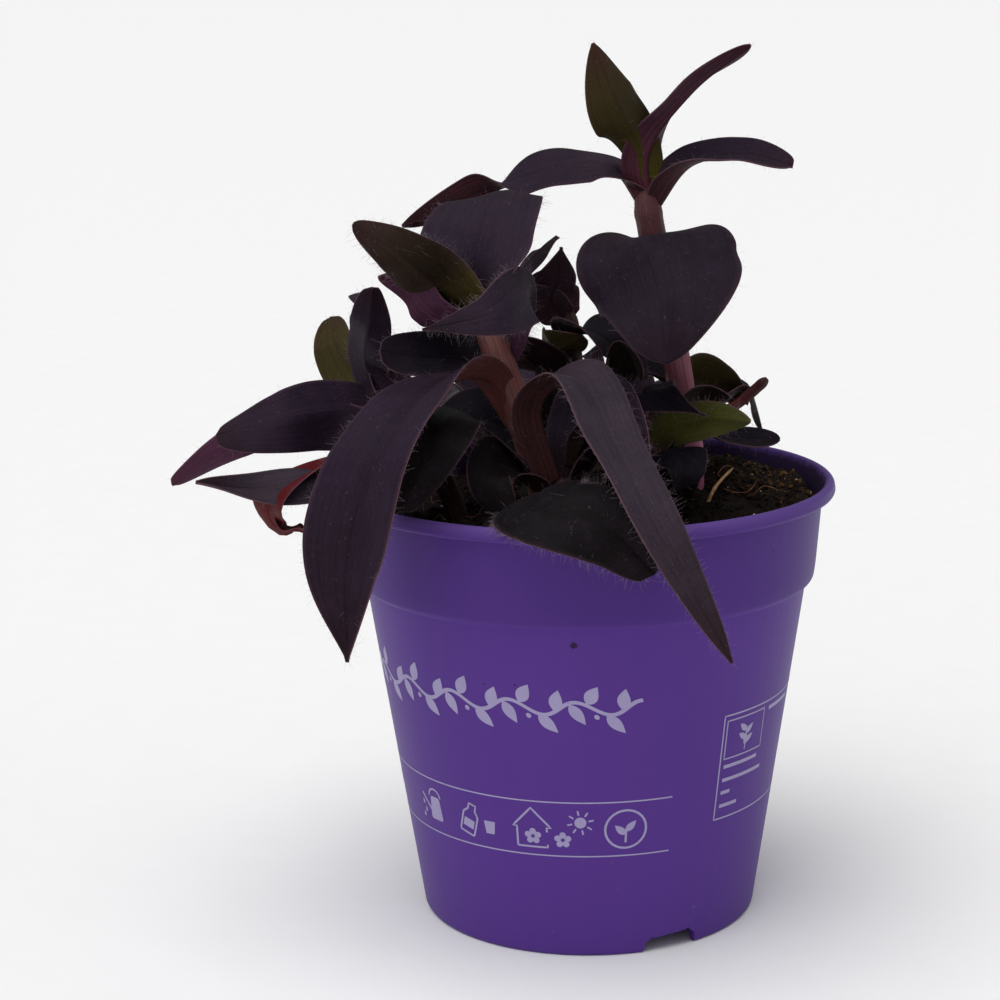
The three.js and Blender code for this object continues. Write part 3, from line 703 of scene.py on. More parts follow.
def rounded(profile):
    """A profile with each marked corner cut into a small arc. A third number above 0 marks it."""
    out = []
    for k, corner in enumerate(profile):
        radius = corner[2] if len(corner) > 2 else 0
        here = np.array(corner[:2], float)
        if not radius:
            out.append(here)
            continue
        before = np.array(profile[k - 1][:2], float) - here
        after = np.array(profile[(k + 1) % len(profile)][:2], float) - here
        reach = min(radius, 0.45 * np.linalg.norm(before), 0.45 * np.linalg.norm(after))
        a = here + before / np.linalg.norm(before) * reach
        b = here + after / np.linalg.norm(after) * reach
        for s in np.linspace(0, 1, 5):
            out.append((1 - s) ** 2 * a + 2 * s * (1 - s) * here + s * s * b)
    return out


def lathe(profile, segments):
    """Turns a profile, from the axis back to the axis, into a closed mesh with one point at each pole."""
    turns = angles(segments)
    rings = [[(r * math.sin(a), -r * math.cos(a), z) for a in turns] for r, z in profile[1:-1]]
    return loft(rings, ends=[(0, 0, profile[0][1]), (0, 0, profile[-1][1])])


def cut(made, cutter):
    modifier = made.modifiers.new("cut", "BOOLEAN")
    modifier.operation = "DIFFERENCE"
    modifier.solver = "EXACT"
    modifier.object = cutter
    settle(made)
    bpy.data.objects.remove(cutter)


def arch_cutter(degrees, seed):
    """The opening of a foot notch, its upper edge a little rough from moulding."""
    noise = np.random.default_rng(seed)
    shape = [(7.25, -2), (6.65, 2.8), (4.65, 4.4)]
    for x in np.linspace(4.0, -4.4, 15):
        shape.append((x, 4.15 - 0.5 * (4.65 - x) / 9.3 + noise.uniform(-0.12, 0.12)))
    shape += [(-4.85, 3.9), (-6.65, 2.6), (-7.25, -2)]
    turn = Matrix.Rotation(math.radians(degrees), 3, "Z")
    depths = (37.5 - 1.2, 43.0)
    rings = [[tuple(turn @ Vector((x, -depth, z))) for x, z in shape] for depth in depths]
    points, faces = loft(rings)
    return make_object("arch", points, faces, [], smooth=False)


def build_pot():
    points, faces = lathe(rounded(POT_PROFILE), POT_SEGMENTS)
    pot = make_object("pot_shell", points, faces, [pot_material()])
    for k, degrees in enumerate(NOTCHES):
        cut(pot, arch_cutter(degrees, 40 + k))
    for k in range(DRAIN_COUNT):
        x, y, _ = polar(k * 360 / DRAIN_COUNT, DRAIN_PLACE_R, 0)
        rings = [[(*p, z) for p in circle(DRAIN_R, 28, x, y)] for z in (3.2, 9.2)]
        cut(pot, make_object("drain", *loft(rings), [], smooth=False))
    pot.data.set_sharp_from_angle(angle=math.radians(38))
    belongs(pot, "pot", "pot")


# The print: a leafy vine, a ruled band of small garden signs, and a ruled label
class Ink:
    """Flat shapes laid on the pot's wall. A place is an angle round the pot and a height."""

    def __init__(self):
        self.points = []
        self.faces = []

    def at(self, place, x, y):
        degrees, z = place
        z = z + y
        return polar(degrees + math.degrees(x / body_radius(z)), body_radius(z) + PRINT_LIFT, z)

    def line(self, place, path, width, closed=False):
        """A stroke of even width through points given in mm from the place."""
        dense = []
        path = [*path, path[0]] if closed else list(path)
        for a, b in zip(path, path[1:]):
            parts = max(1, round(math.dist(a, b) / 0.9))
            dense += [tuple(np.array(a) + (np.array(b) - np.array(a)) * k / parts) for k in range(parts)]
        if not closed:
            dense.append(path[-1])
        count = len(dense)
        start = len(self.points)
        for k in range(count):
            before = np.array(dense[k - 1] if closed else dense[max(k - 1, 0)])
            after = np.array(dense[(k + 1) % count] if closed else dense[min(k + 1, count - 1)])
            ahead = (after - before) / max(1e-6, np.linalg.norm(after - before))
            across = np.array([-ahead[1], ahead[0]]) * width / 2
            for sign in (1, -1):
                x, y = np.array(dense[k]) + sign * across
                self.points.append(self.at(place, x, y))
        for k in range(count if closed else count - 1):
            a = start + 2 * k
            b = start + 2 * ((k + 1) % count)
            self.faces.append((a, a + 1, b + 1, b))

    def fill(self, place, shape):
        """A filled star-shaped outline, in rings so that it follows the round wall."""
        shape = [np.array(p, float) for p in shape]
        centre = sum(shape) / len(shape)
        area = sum(a[0] * b[1] - a[1] * b[0] for a, b in zip(shape, shape[1:] + shape[:1]))
        if area < 0:
            shape.reverse()
        start, count = len(self.points), len(shape)
        for share in (1, 0.66, 0.33):
            self.points += [self.at(place, *(centre + (p - centre) * share)) for p in shape]
        self.points.append(self.at(place, *centre))
        for ring in range(2):
            for k in range(count):
                n = (k + 1) % count
                a = start + ring * count
                self.faces.append((a + k, a + n, a + count + n, a + count + k))
        inner = start + 2 * count
        for k in range(count):
            self.faces.append((inner + k, inner + (k + 1) % count, inner + count))

    def leaf(self, place, x, y, length, width, degrees):
        a = math.radians(degrees)
        half = [(s, math.sin(math.pi * s ** 0.8) * width / 2) for s in np.linspace(0, 1, 10)]
        shape = []
        for s, w in half + [(s, -w) for s, w in half[-2:0:-1]]:
            across = x + s * length * math.cos(a) - w * math.sin(a)
            shape.append((across, y + s * length * math.sin(a) + w * math.cos(a)))
        self.fill(place, shape)

    def rays(self, place, near, far, width, turn=0.0):
        """Eight short strokes round a sun."""
        for k in range(8):
            a = k * math.pi / 4 + turn
            self.line(place, [(r * math.cos(a), r * math.sin(a)) for r in (near, far)], width)


def circle(radius, count=28, x=0.0, y=0.0):
    return [(x + radius * math.cos(a), y + radius * math.sin(a)) for a in angles(count)]


def leaning(shape, degrees):
    c, s = math.cos(math.radians(degrees)), math.sin(math.radians(degrees))
    return [(x * c - y * s, x * s + y * c) for x, y in shape]


def flower(ink, place, x, y, size):
    for k in range(5):
        a = math.radians(90 + 72 * k)
        petal = (x + size * 0.55 * math.cos(a), y + size * 0.55 * math.sin(a))
        ink.fill(place, circle(size * 0.34, 12, *petal))
    ink.line(place, circle(size * 0.25, 12, x, y), 0.22, closed=True)


def vine_band(ink):
    """A leafy vine round the wall, with berries."""
    height, span, pitch = 63.5, 110.0, 3.9
    start = (-95.0, height)
    total = math.radians(span) * body_radius(height)

    def wave(x):
        return 1.6 * math.sin(x / 15.5 * 2 * math.pi)

    ink.line(start, [(x, wave(x)) for x in np.linspace(0, total, 120)], 0.9)
    for k in range(int(total / pitch)):
        x = 2.0 + k * pitch
        y = wave(x)
        up = 1 if k % 2 else -1
        ink.leaf(start, x, y + up * 0.3, 5.6, 3.0, up * (58 + 10 * math.sin(k * 1.7)))
        if k % 4 == 1:
            ink.fill(start, circle(0.62, 12, x + 1.6, y - up * 2.9))


def sign_band(ink):
    """A ruled band of garden signs, from far round on the left to the front."""
    for z in (26.25, 39.95):
        ink.line((-118.0, z), [(0, 0), (math.radians(118 + 24.5) * body_radius(z), 0)], 0.36)
    middle = 33.0
    sun = (-84.0, middle)
    ink.fill(sun, circle(1.9, 18))
    ink.rays(sun, 2.7, 4.0, 0.5)
    # A watering can with drops.
    can = (-53.5, middle)
    ink.fill(can, [(-0.6, -3.6), (3.2, -3.6), (3.6, -3.0), (3.1, 1.9), (2.6, 2.3), (0.0, 2.3),
                   (-0.4, 1.9), (-1.0, -3.0)])
    handle = [(1.3 + 2.2 * math.cos(a), 2.3 + 2.0 * math.sin(a)) for a in np.linspace(0, math.pi, 14)]
    ink.line(can, handle, 0.45)
    ink.line(can, [(-0.4, -1.6), (-2.6, 0.9), (-3.9, 2.4)], 0.6)
    for x, y in ((-3.9, -0.2), (-3.2, -2.2), (-4.3, -3.6)):
        ink.leaf(can, x, y - 0.5, 1.5, 0.8, 90)
    # A bottle of plant food, leaning, with a measuring cup.
    bottle = (-37.0, middle)
    body = [(-1.9, -4.2), (1.9, -4.2), (2.1, -3.8), (2.1, 0.9), (1.0, 2.3), (1.0, 3.7), (-1.0, 3.7),
            (-1.0, 2.3), (-2.1, 0.9), (-2.1, -3.8)]
    ink.line(bottle, leaning(body, -18), 0.5, closed=True)
    ink.fill(bottle, leaning([(-1.5, -2.6), (1.5, -2.6), (1.5, -0.4), (-1.5, -0.4)], -18))
    ink.fill((-30.0, middle), [(-1.1, -3.0), (1.1, -3.0), (1.5, 0.2), (-1.5, 0.2)])
    # A house with a flower in it, and one outside.
    house = (-16.5, middle)
    walls = [(-3.6, -4.7), (-3.6, 0.3), (-4.6, 0.3), (0, 5.2), (4.6, 0.3), (3.6, 0.3), (3.6, -0.8)]
    ink.line(house, walls, 0.5)
    ink.line(house, [(-3.6, -4.7), (3.6, -4.7), (3.6, -4.0)], 0.5)
    flower(ink, house, 0.2, -2.0, 2.3)
    flower(ink, (-7.4, middle), 0.0, -2.6, 2.3)
    small_sun = (-2.2, 34.9)
    ink.fill(small_sun, circle(1.4, 16))
    ink.rays(small_sun, 1.9, 3.1, 0.42, 0.2)
    # A ring with a two-leaved seedling.
    seedling = (10.9, middle)
    ink.line(seedling, circle(4.8), 0.55, closed=True)
    ink.line(seedling, [(0, -3.4), (0.1, 0.2)], 0.5)
    ink.leaf(seedling, 0.0, -0.6, 3.6, 1.7, 48)
    ink.leaf(seedling, 0.0, -1.4, 3.6, 1.7, 136)


def label_frame(ink):
    place = (40.0, 44.0)
    width = math.radians(52) * body_radius(44)
    ink.line(place, [(0, -12.6), (0, 13.6), (width, 13.6), (width, -12.6)], 0.4, closed=True)
    ink.line(place, [(1.1, 2.6), (1.1, 12.2), (15.2, 12.2), (15.2, 2.6)], 0.36, closed=True)
    sprig = ((8.1, 4.6, 90), (7.9, 5.4, 32), (8.3, 6.4, 148), (8.0, 7.6, 40), (8.2, 8.4, 140))
    for x, y, turn in sprig:
        ink.leaf(place, x, y, 3.4, 1.5, turn)
    ink.line(place, [(8.1, 3.6), (8.1, 9.6)], 0.4)
    ink.line(place, [(17.5, 11.6), (30.0, 11.6)], 1.0)
    for y, long in ((0.6, 12.5), (-2.8, 15.0), (-6.0, 3.0), (-9.4, 6.0)):
        ink.line(place, [(1.3, y), (1.3 + long, y)], 0.9)


def build_print():
    ink = Ink()
    vine_band(ink)
    sign_band(ink)
    label_frame(ink)
    faces = []
    points = np.array(ink.points)
    for face in ink.faces:
        a, b, c = points[list(face[:3])]
        outward = np.dot(np.cross(b - a, c - b), (a[0], a[1], 0)) > 0
        faces.append(face if outward else face[::-1])
    made = make_object("pot_print", points, faces, [print_material()], smooth=False)
    belongs(made, "pot")


# Soil
def soil_height(x, y):
    r2 = x * x + y * y
    bumps = np.sin(x * 0.31 + y * 0.17) + np.sin(y * 0.43 - x * 0.11 + 1.3) + np.sin(x * 0.71 + 2.1)
    return SOIL_LEVEL + 0.065 * x + 0.055 * y + 0.54 * bumps - 0.0004 * r2


def soil_heap(x, y):
    """The heap of golden fibre at the right."""
    return np.exp(-(((x - 34) / 13) ** 2 + ((y - 22) / 14) ** 2)) * HEAP_HEIGHT


def build_soil(crumbs):
    """A loose crust on the packed soil, and crumbs on it."""
    noise = np.random.default_rng(21)
    rings = np.concatenate([[0.6], np.linspace(1.6, 55.9, 72)])
    radius, angle = np.meshgrid(rings, angles(180), indexing="ij")
    x, y = radius * np.cos(angle), radius * np.sin(angle)
    z = soil_height(x, y) + CRUST_LIFT
    for scale, height in ((0.19, 0.55), (0.43, 0.40), (0.9, 0.30), (1.7, 0.20)):
        for _ in range(5):
            turn, phase = noise.uniform(0, 6.28, 2)
            along = x * math.cos(turn) + y * math.sin(turn)
            z = z + height * 0.5 * np.sin(along * scale * noise.uniform(0.8, 1.3) + phase)
    z = z + noise.uniform(-0.16, 0.16, z.shape)
    z = z + soil_heap(x, y)
    top = np.stack([x, y, z], -1)
    wall = np.clip(54.9 + (top[-1, :, 2] - 86.5) * 0.09, 0, 56.0)
    keep = (wall - 0.35) / np.hypot(top[-1, :, 0], top[-1, :, 1])
    top[-1, :, :2] *= keep[:, None]
    skirt = top[-1].copy()
    skirt[:, 2] -= 2.0
    floor = skirt.copy()
    floor[:, :2] *= 0.05
    floor[:, 2] = skirt[:, 2].mean() - 1.0
    points, faces = loft([*top, skirt, floor])
    crust = make_object("soil_crust", points, [f[::-1] for f in faces], [soil_material()])
    belongs(crust, "soil")
    points, faces = loft(top[:-1], close_ends=False)
    loose = make_object("soil_crumbs", points, [f[::-1] for f in faces], [crumbs])
    grow(loose, crumb_tree(crumbs), Density=CRUMBS, Length=1.0, Seed=4)
    belongs(loose, "soil")
    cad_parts["soil"].data.materials.clear()
    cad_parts["soil"].data.materials.append(crust.data.materials[0])


def build_fibres(material):
    """Short bits of root and dry stalk lying on the soil."""
    noise = np.random.default_rng(33)
    points, faces = [], []
    for _ in range(FIBRE_COUNT):
        angle, away = noise.uniform(0, 6.28), 52 * math.sqrt(noise.uniform(0.02, 1))
        x, y = away * math.cos(angle), away * math.sin(angle)
        heading = noise.uniform(0, 6.28)
        long = noise.uniform(4, 13)
        knots = []
        for s in np.linspace(-0.5, 0.5, 4):
            px = x + s * long * math.cos(heading + s)
            py = y + s * long * math.sin(heading + s)
            reach = math.hypot(px, py)
            if reach > FIBRE_REACH:
                px, py = px * FIBRE_REACH / reach, py * FIBRE_REACH / reach
            top = soil_height(px, py) + 0.9 + soil_heap(px, py)
            knots.append((px, py, top + noise.uniform(0, 1.6)))
        path, _ = spline(knots, 14)
        ahead = directions(path)
        side = unit(np.cross(ahead, (0, 0, 1.0)))
        other = np.cross(side, ahead)
        radius = noise.uniform(0.10, 0.22)
        rings = []
        for i in range(15):
            taper = radius * (0.35 + 0.65 * math.sin(math.pi * (i + 0.6) / 15.2))
            rings.append([path[i] + taper * (math.cos(a) * side[i] + math.sin(a) * other[i])
                          for a in np.arange(6) / 6 * 6.283])
        p, f = loft(rings)
        f = [tuple(len(points) + i for i in face) for face in f]
        points += list(p)
        faces += f
    made = make_object("soil_fibres", points, faces, [material])
    belongs(made, "straw")


# Each word names a leaf face's colours at its base, middle and tip.
PALETTE = {
    "dusk": ((64, 44, 52), (43, 31, 47), (44, 28, 36)),
    "lilac": ((60, 42, 52), (46, 35, 49), (43, 29, 39)),
    "grey": ((66, 48, 54), (58, 48, 59), (52, 36, 42)),
    "night": ((52, 35, 44), (35, 25, 37), (36, 23, 32)),
    # Painted shade: slate, navy and black are darker copies of the leaf colours, given to leaves that lie in
    # shade inside the plant and to the leaf over the front rim.
    "slate": ((40, 32, 38), (31, 26, 36), (30, 22, 30)),
    "navy": ((36, 28, 32), (22, 18, 28), (26, 18, 24)),
    "black": ((30, 22, 22), (17, 14, 16), (26, 18, 22)),
    "rose": ((84, 50, 50), (44, 27, 32), (44, 22, 28)),
    "blush": ((78, 46, 46), (48, 31, 32), (44, 24, 28)),
    "fresh": ((150, 86, 82), (90, 54, 52), (46, 26, 30)),
    "red": ((70, 42, 48), (52, 27, 33), (50, 24, 28)),
    "striped": ((92, 44, 56), (64, 36, 50), (52, 28, 38)),
    "magenta": ((84, 50, 76), (80, 46, 70), (78, 40, 58)),
    "scarlet": ((92, 26, 30), (86, 18, 22), (92, 22, 24)),
    "wine": ((74, 42, 54), (54, 33, 43), (48, 28, 37)),
    "brown": ((50, 34, 26), (34, 26, 22), (40, 28, 26)),
    "amber": ((80, 74, 22), (58, 49, 24), (70, 44, 37)),
    "olive": ((100, 92, 26), (50, 39, 28), (54, 34, 34)),
    "green": ((92, 90, 38), (76, 68, 36), (70, 56, 38)),
    "sprout": ((64, 48, 42), (86, 86, 42), (92, 94, 50)),
    "moss": ((44, 42, 32), (32, 31, 28), (36, 30, 28)),
}

# Undersides whose veins show pink.
BLUSHED = ("rose", "blush", "fresh", "red", "striped", "magenta")

# Each stem: its points from the soil up, its radius low and at the top, and its colours.
STEMS = {
    # Partly painted light: the tall stem's lower colours are its own pink made brighter, to show it lit
    # below the heart leaf.
    "tall": ([(27, 10, 70), (26, 9, 97), (25, 8, 116), (22, 7, 138), (18, 6, 158), (15, 6, 175)],
        3.7, 3, [(140, 80, 106), (196, 112, 150), (150, 84, 104), (92, 48, 54), (84, 46, 50)]),
    "front": ([(-5, -7, 70), (-8, -8, 97), (-13, -9, 118), (-19, -9, 135), (-23, -8, 147)],
        4.4, 3, [(70, 40, 42), (96, 58, 56), (142, 88, 82), (128, 78, 76)]),
    "left": ([(-26, 0, 72), (-31, 2, 97), (-37, 3, 112), (-43, 3, 125)],
        2.9, 2.2, [(54, 32, 34), (66, 42, 44)]),
    "low_front": ([(-2, -17, 76), (-4, -18, 97), (-5, -18, 110)],
        2.8, 2.2, [(50, 30, 30), (60, 36, 38)]),
    "low_right": ([(14, -8, 76), (17, -9, 97), (18, -9, 117)],
        2.7, 2.1, [(50, 32, 30), (58, 38, 36)]),
    "middle": ([(0, 16, 74), (-1, 18, 97), (-2, 20, 124), (-3, 21, 144)],
        2.7, 1.9, [(46, 32, 28), (50, 36, 34)]),
    "back_right": ([(15, 28, 78), (16, 30, 97), (17, 32, 116)],
        2.5, 2, [(60, 38, 40), (76, 48, 52)]),
    "back_left": ([(-18, 25, 78), (-20, 28, 97), (-23, 31, 117)],
        2.5, 2, [(60, 38, 40), (76, 48, 52)]),
}

# The leaves of each stem: name, slot, colours of the upper face and the underside, hairiness, midrib
# points, (width, widest place, base share, tip bluntness), and roll, fold and cup from base to tip.
LEAVES = {
    "tall": [
        ("tall_heart", "dark", "night rose", 0.35,
         [(18, 7, 159), (16, -15, 166), (19, -31, 155), (19, -39, 140)], (39.5, 0.42, 0.23, 0.52),
         (-4, 16, 21), (37, -22, 24), (-7, -10, -9)),
        ("tall_left", "plum", "dusk red", 0.5,
         [(15, 8, 169), (7, 10, 180.5), (-4, 14, 180.5), (-15, 18, 177), (-30, 20, 171), (-44, 18, 166)],
         (15, 0.42, 0.6, 0.7), (9, -25, -35, 50, 70), (60, -5, 5, 30, 15), (1, -15, -5, 5, 0)),
        ("tall_right", "plum", "dusk red", 0.5,
         [(18, 6, 170), (26, 4, 181), (38, 4, 183), (49, -6, 181)], (12, 0.2, 0.6, 0.36), (28, 26, 34),
         (70, 7, 9), (23, 22, 17)),
        ("tall_up_right", "wine", "lilac striped", 0.5,
         [(16, 5, 173), (16, 6, 184), (26, 4, 198), (39, -8, 209)], (12, 0.16, 0.6, 0.53),
         (-53, 3, -30), (36, 27, 0), (-11, -18, 26)),
        ("tall_up_left", "olive", "dusk amber", 0.4,
         [(15, 6, 176), (13, 5, 186), (8, -6, 197), (3, -10, 210)], (15, 0.52, 0.64, 0.8), (2, 67, 61),
         (42, 10, 35), (1, 28, 0)),
        ("tall_low_right", "olive", "navy amber", 0.6,
         [(25, 9, 118), (25, 16, 128), (32, 19, 126), (41, 24, 120)], (16, 0.33, 0.47, 0.73),
         (-43, -66, -26), (47, -22, 15), (-22, 11, -14)),
        ("tall_low_back", "wine", "navy rose", 0.6,
         [(26, 12, 112), (35, 18, 122), (40, 21, 124), (44, 17, 114)], (12, 0.39, 0.45, 0.74),
         (11, -3, 39), (55, 14, -1), (-14, 17, -19)),
        ("tall_behind", "navy", "navy rose", 0.6,
         [(24, 11, 122), (16, 18, 131), (8, 22, 135), (0, 26, 132)], (16, 0.45, 0.5, 0.8),
         (0, -25, -25), (50, 12, 6), (8, 6, 4)),
    ],
    "front": [
        ("front_long_left", "dark", "dusk fresh", 0.9,
         [(-15, -8, 120), (-22, -16, 133), (-34, -34, 134), (-45, -54, 122), (-52, -54, 98), (-53, -58, 77)],
         (23.5, 0.73, 0.3, 1.07), (43, -1, -20), (38, 29, 23), (-10, -24, 19)),
        ("front_behind", "navy", "slate rose", 1.6,
         [(-20, -8, 136), (-30, -9, 137), (-39, -17, 139), (-47, -21, 141)], (16, 0.21, 0.45, 0.35),
         (-52, -32, -62), (45, 14, 3), (8, 2, 1)),
        ("front_young", "plum", "lilac magenta", 2.0,
         [(-20, -6, 139), (-13, -13, 152), (-21, -36, 151), (-36, -36, 148)], (14, 0.46, 0.81, 1.16),
         (-63, -66, -39), (46, -22, 19), (16, 25, -22)),
        ("front_magenta", "wine", "lilac magenta", 0.5,
         [(-22, -5, 141), (-35, -14, 150), (-39, -13, 154), (-47, -18, 158)], (13.4, 0.3, 0.36, 0.59),
         (3, 29, 46), (68, -17, 14), (13, 17, 3)),
        ("front_olive", "olive", "dusk olive", 1.8,
         [(-23, -10, 145), (-33, -16, 155), (-42, -34, 166), (-51, -35, 172)], (17, 0.15, 0.47, 0.52),
         (9, 50, 80), (16, 9, 14), (-27, 28, 6)),
        ("front_upright", "plum", "lilac rose", 1.6,
         [(-23, -7, 146), (-25, -8, 159), (-23, -4, 169), (-20, 2, 175), (-18, 9, 175)],
         (29, 0.4, 0.42, 0.3), (2, -4, -6), (50, 11, -14), (24, -7, -8)),
    ],
    "left": [
        ("left_low", "plum", "grey rose", 0.5,
         [(-36, 4, 109), (-58, -24, 113), (-76, -27, 110), (-90, -28, 112)], (16, 0.17, 0.56, 0.66),
         (-28, -25, -53), (33, -21, 34), (28, -28, 26)),
        ("left_curled", "wine", "scarlet scarlet", 0.4,
         [(-37, 2, 112), (-61, -20, 113), (-72, -27, 108), (-73, -22, 101), (-65, -28, 100)],
         (14, 0.39, 0.7, 0.49), (22, 11, -3), (16, 27, -5), (25, -17, -11)),
        ("left_far", "wine", "dusk magenta", 0.4,
         [(-38, 3, 115), (-69, 2, 121), (-84, -2, 116), (-101, 4, 105)], (10.4, 0.3, 0.43, 0.36),
         (4, 80, 52), (52, 23, -1), (1, -23, 24)),
        ("left_broad", "dark", "dusk rose", 0.5,
         [(-40, 2, 119), (-57, 0, 123), (-72, -10, 123), (-88, -7, 119)], (18.4, 0.22, 0.37, 0.36),
         (8, -73, -38), (24, -22, 6), (26, 10, -28)),
        ("left_olive", "olive", "dusk green", 0.6,
         [(-42, 5, 122), (-57, 17, 131), (-61, 16, 138), (-62, 18, 144)], (18.5, 0.3, 0.75, 0.36),
         (0, 80, 90), (5, -22, 8), (9, 7, -28)),
        ("left_upright", "dark", "dusk dusk", 0.5,
         [(-43, 1, 124), (-52, 5, 133), (-50, -10, 147), (-49, -14, 155)], (13.4, 0.15, 0.62, 0.36),
         (34, -34, 42), (22, 7, 12), (-34, -7, 17)),
        ("left_tip", "plum", "dusk rose", 0.5,
         [(-43, 5, 127), (-51, 9, 140), (-52, 3, 149), (-57, 18, 149)], (5, 0.15, 0.4, 0.36),
         (-4, -46, -14), (10, -22, 27), (8, -28, -3)),
    ],
    "low_front": [
        ("rim_front", "navy", "black rose", 2.6,
         [(-5, -18, 104), (-10, -44, 112), (-9, -61, 112), (6, -66, 108), (15, -68, 99)],
         (21, 0.52, 0.85, 0.36), (1, 21, 33), (0, 9, 21), (-14, -28, -25)),
        ("inner_round", "navy", "black rose", 0.8,
         [(-9, -17, 105), (-20, -23, 115), (-22, -36, 114), (-17, -40, 106)], (13.6, 0.15, 0.45, 0.36),
         (-38, -54, -6), (25, 2, -8), (6, 28, 0)),
        ("inner_left", "navy", "black rose", 0.8,
         [(-8, -17, 107), (-26, -17, 124), (-32, -43, 125), (-41, -48, 109)], (13, 0.7, 0.3, 0.4),
         (-36, -10, -50), (21, -11, -22), (-28, 23, -2)),
        ("front_long_right", "dark", "grey blush", 1.2,
         [(-6, -18, 109), (-10, -23, 128), (-2, -33, 136), (7, -56, 124), (16, -73, 109), (31, -75, 81)],
         (15.5, 0.41, 0.7, 0.75), (31, -7, 13), (47, 9, 3), (-1, -1, 22)),
        ("right_curl", "wine", "dusk brown", 0.9,
         [(-3, -16, 112), (5, -22, 132), (12, -38, 127), (15, -43, 117)], (8, 0.2, 0.46, 0.78),
         (2, 63, 36), (24, -16, 24), (19, -16, 28)),
        ("inner_brown", "wine", "dusk brown", 0.8,
         [(-4, -15, 108), (-1, -10, 119), (1, -6, 130), (4, -3, 138)], (16, 0.4, 0.5, 0.8), (0, 8, 20),
         (50, 12, 10), (10, 6, 4)),
    ],
    "low_right": [
        ("low_right_round", "navy", "navy moss", 0.7,
         [(18, -11, 104), (20, -21, 117), (23, -29, 114), (21, -30, 109)], (18.7, 0.38, 0.83, 0.79),
         (-24, 14, -13), (21, -4, 3), (-5, -21, -11)),
        ("low_right_grey", "navy", "navy moss", 0.7,
         [(19, -9, 109), (26, -10, 119), (35, -13, 118), (46, -14, 118)], (13, 0.37, 0.44, 0.5),
         (-16, 5, 28), (13, 3, 5), (13, 18, 0)),
        ("low_right_green", "green", "dusk sprout", 2.0,
         [(18, -10, 111), (18, -11, 118), (28, -20, 124), (38, -28, 125)], (9.6, 0.49, 0.44, 0.59),
         (-71, -88, -73), (13, -21, 35), (-3, 3, -24)),
        ("low_right_blue", "navy", "navy rose", 0.7,
         [(17, -8, 115), (15, -9, 129), (16, -19, 130), (28, -27, 126)], (12.8, 0.45, 0.59, 1.4),
         (-46, 28, 57), (7, -16, 30), (15, -16, 20)),
        ("low_right_top", "olive", "grey brown", 0.7,
         [(19, -6, 115), (25, -2, 126), (29, 0, 127), (35, -2, 126)], (7.4, 0.5, 0.3, 0.36),
         (-34, -45, -41), (0, -22, -6), (10, 26, 1)),
    ],
    "middle": [
        ("middle_old", "olive", "dusk brown", 0.6,
         [(1, 13, 120), (8, 7, 129), (11, -2, 138), (14, -11, 132)], (10, 0.24, 0.42, 0.36),
         (-14, -9, -50), (65, -22, 28), (12, 28, 17)),
        ("middle_fill", "wine", "navy rose", 0.5,
         [(-4, 18, 124), (-11, 11, 132), (-17, 3, 138), (-22, 2, 137)], (15, 0.4, 0.5, 0.8),
         (10, 30, 30), (45, 12, 8), (8, 6, 4)),
        ("middle_low_left", "navy", "navy rose", 0.5,
         [(-3, 16, 104), (-14, 9, 114), (-27, 8, 120), (-39, 10, 117)], (24, 0.45, 0.6, 0.8),
         (0, -35, -35), (45, 10, 5), (8, 5, 4)),
        ("middle_low_front", "wine", "dusk brown", 0.5,
         [(-3, 15, 108), (-6, 8, 117), (-9, 5, 126), (-11, 6, 133)], (14, 0.45, 0.5, 0.7), (0, -5, -5),
         (45, 10, 5), (8, 5, 4)),
        ("middle_low_right", "navy", "navy rose", 0.5,
         [(1, 15, 105), (4, 5, 115), (5, -3, 119), (6, -12, 117)], (13, 0.45, 0.5, 0.8), (0, 10, 10),
         (45, 10, 5), (8, 5, 4)),
        ("middle_green", "green", "dusk green", 0.5,
         [(-2, 19, 128), (-6, 19, 133), (-6, 11, 136), (0, 7, 140)], (14.5, 0.21, 0.35, 0.36),
         (-1, -18, -5), (43, 42, -8), (17, 14, 7)),
        ("middle_blue", "navy", "navy rose", 0.5,
         [(-2, 20, 136), (0, 14, 140), (5, 8, 139), (11, 5, 133)], (18, 0.4, 0.5, 0.9), (0, -8, 10),
         (40, 12, 4), (8, 10, 6)),
        ("middle_wine", "wine", "dusk wine", 0.5,
         [(-3, 22, 142), (-8, 20, 147), (-6, 16, 153), (-5, 11, 161)], (15, 0.15, 0.45, 1.1),
         (12, 8, 6), (13, 28, 0), (23, -9, 12)),
        ("middle_thin", "plum", "grey grey", 0.8,
         [(-3, 21, 144), (-16, 22, 151), (-10, 23, 159), (-6, 26, 162)], (10.6, 0.16, 0.43, 0.36),
         (33, 70, 85), (50, -10, 8), (3, 27, -7)),
    ],
    "back_right": [
        ("back_right_a", "dark", "dusk rose", 0.5,
         [(17, 34, 112), (18, 48, 121), (20, 64, 116), (21, 73, 98)], (19, 0.4, 0.5, 0.9), (0, 6, 10),
         (45, 12, 6), (10, 5, 5)),
        ("back_right_b", "plum", "lilac rose", 0.5, [(19, 31, 114), (29, 38, 121), (40, 46, 116)],
         (14, 0.4, 0.5, 0.8), (0, 10, 10), (50, 12, 8), (10, 5, 5)),
        ("back_right_c", "dark", "dusk rose", 0.5, [(15, 31, 116), (9, 36, 130), (3, 42, 136)],
         (13, 0.4, 0.5, 0.8), (0, 0, 0), (50, 16, 10), (10, 5, 5)),
    ],
    "back_left": [
        ("back_left_a", "dark", "dusk rose", 0.5,
         [(-24, 33, 112), (-30, 46, 121), (-39, 61, 114), (-43, 67, 98)], (19, 0.4, 0.5, 0.9),
         (0, -6, -8), (45, 12, 6), (10, 5, 5)),
        ("back_left_b", "plum", "lilac rose", 0.5, [(-22, 33, 115), (-16, 46, 126), (-10, 60, 122)],
         (16, 0.4, 0.5, 0.8), (0, 8, 8), (50, 12, 8), (10, 5, 5)),
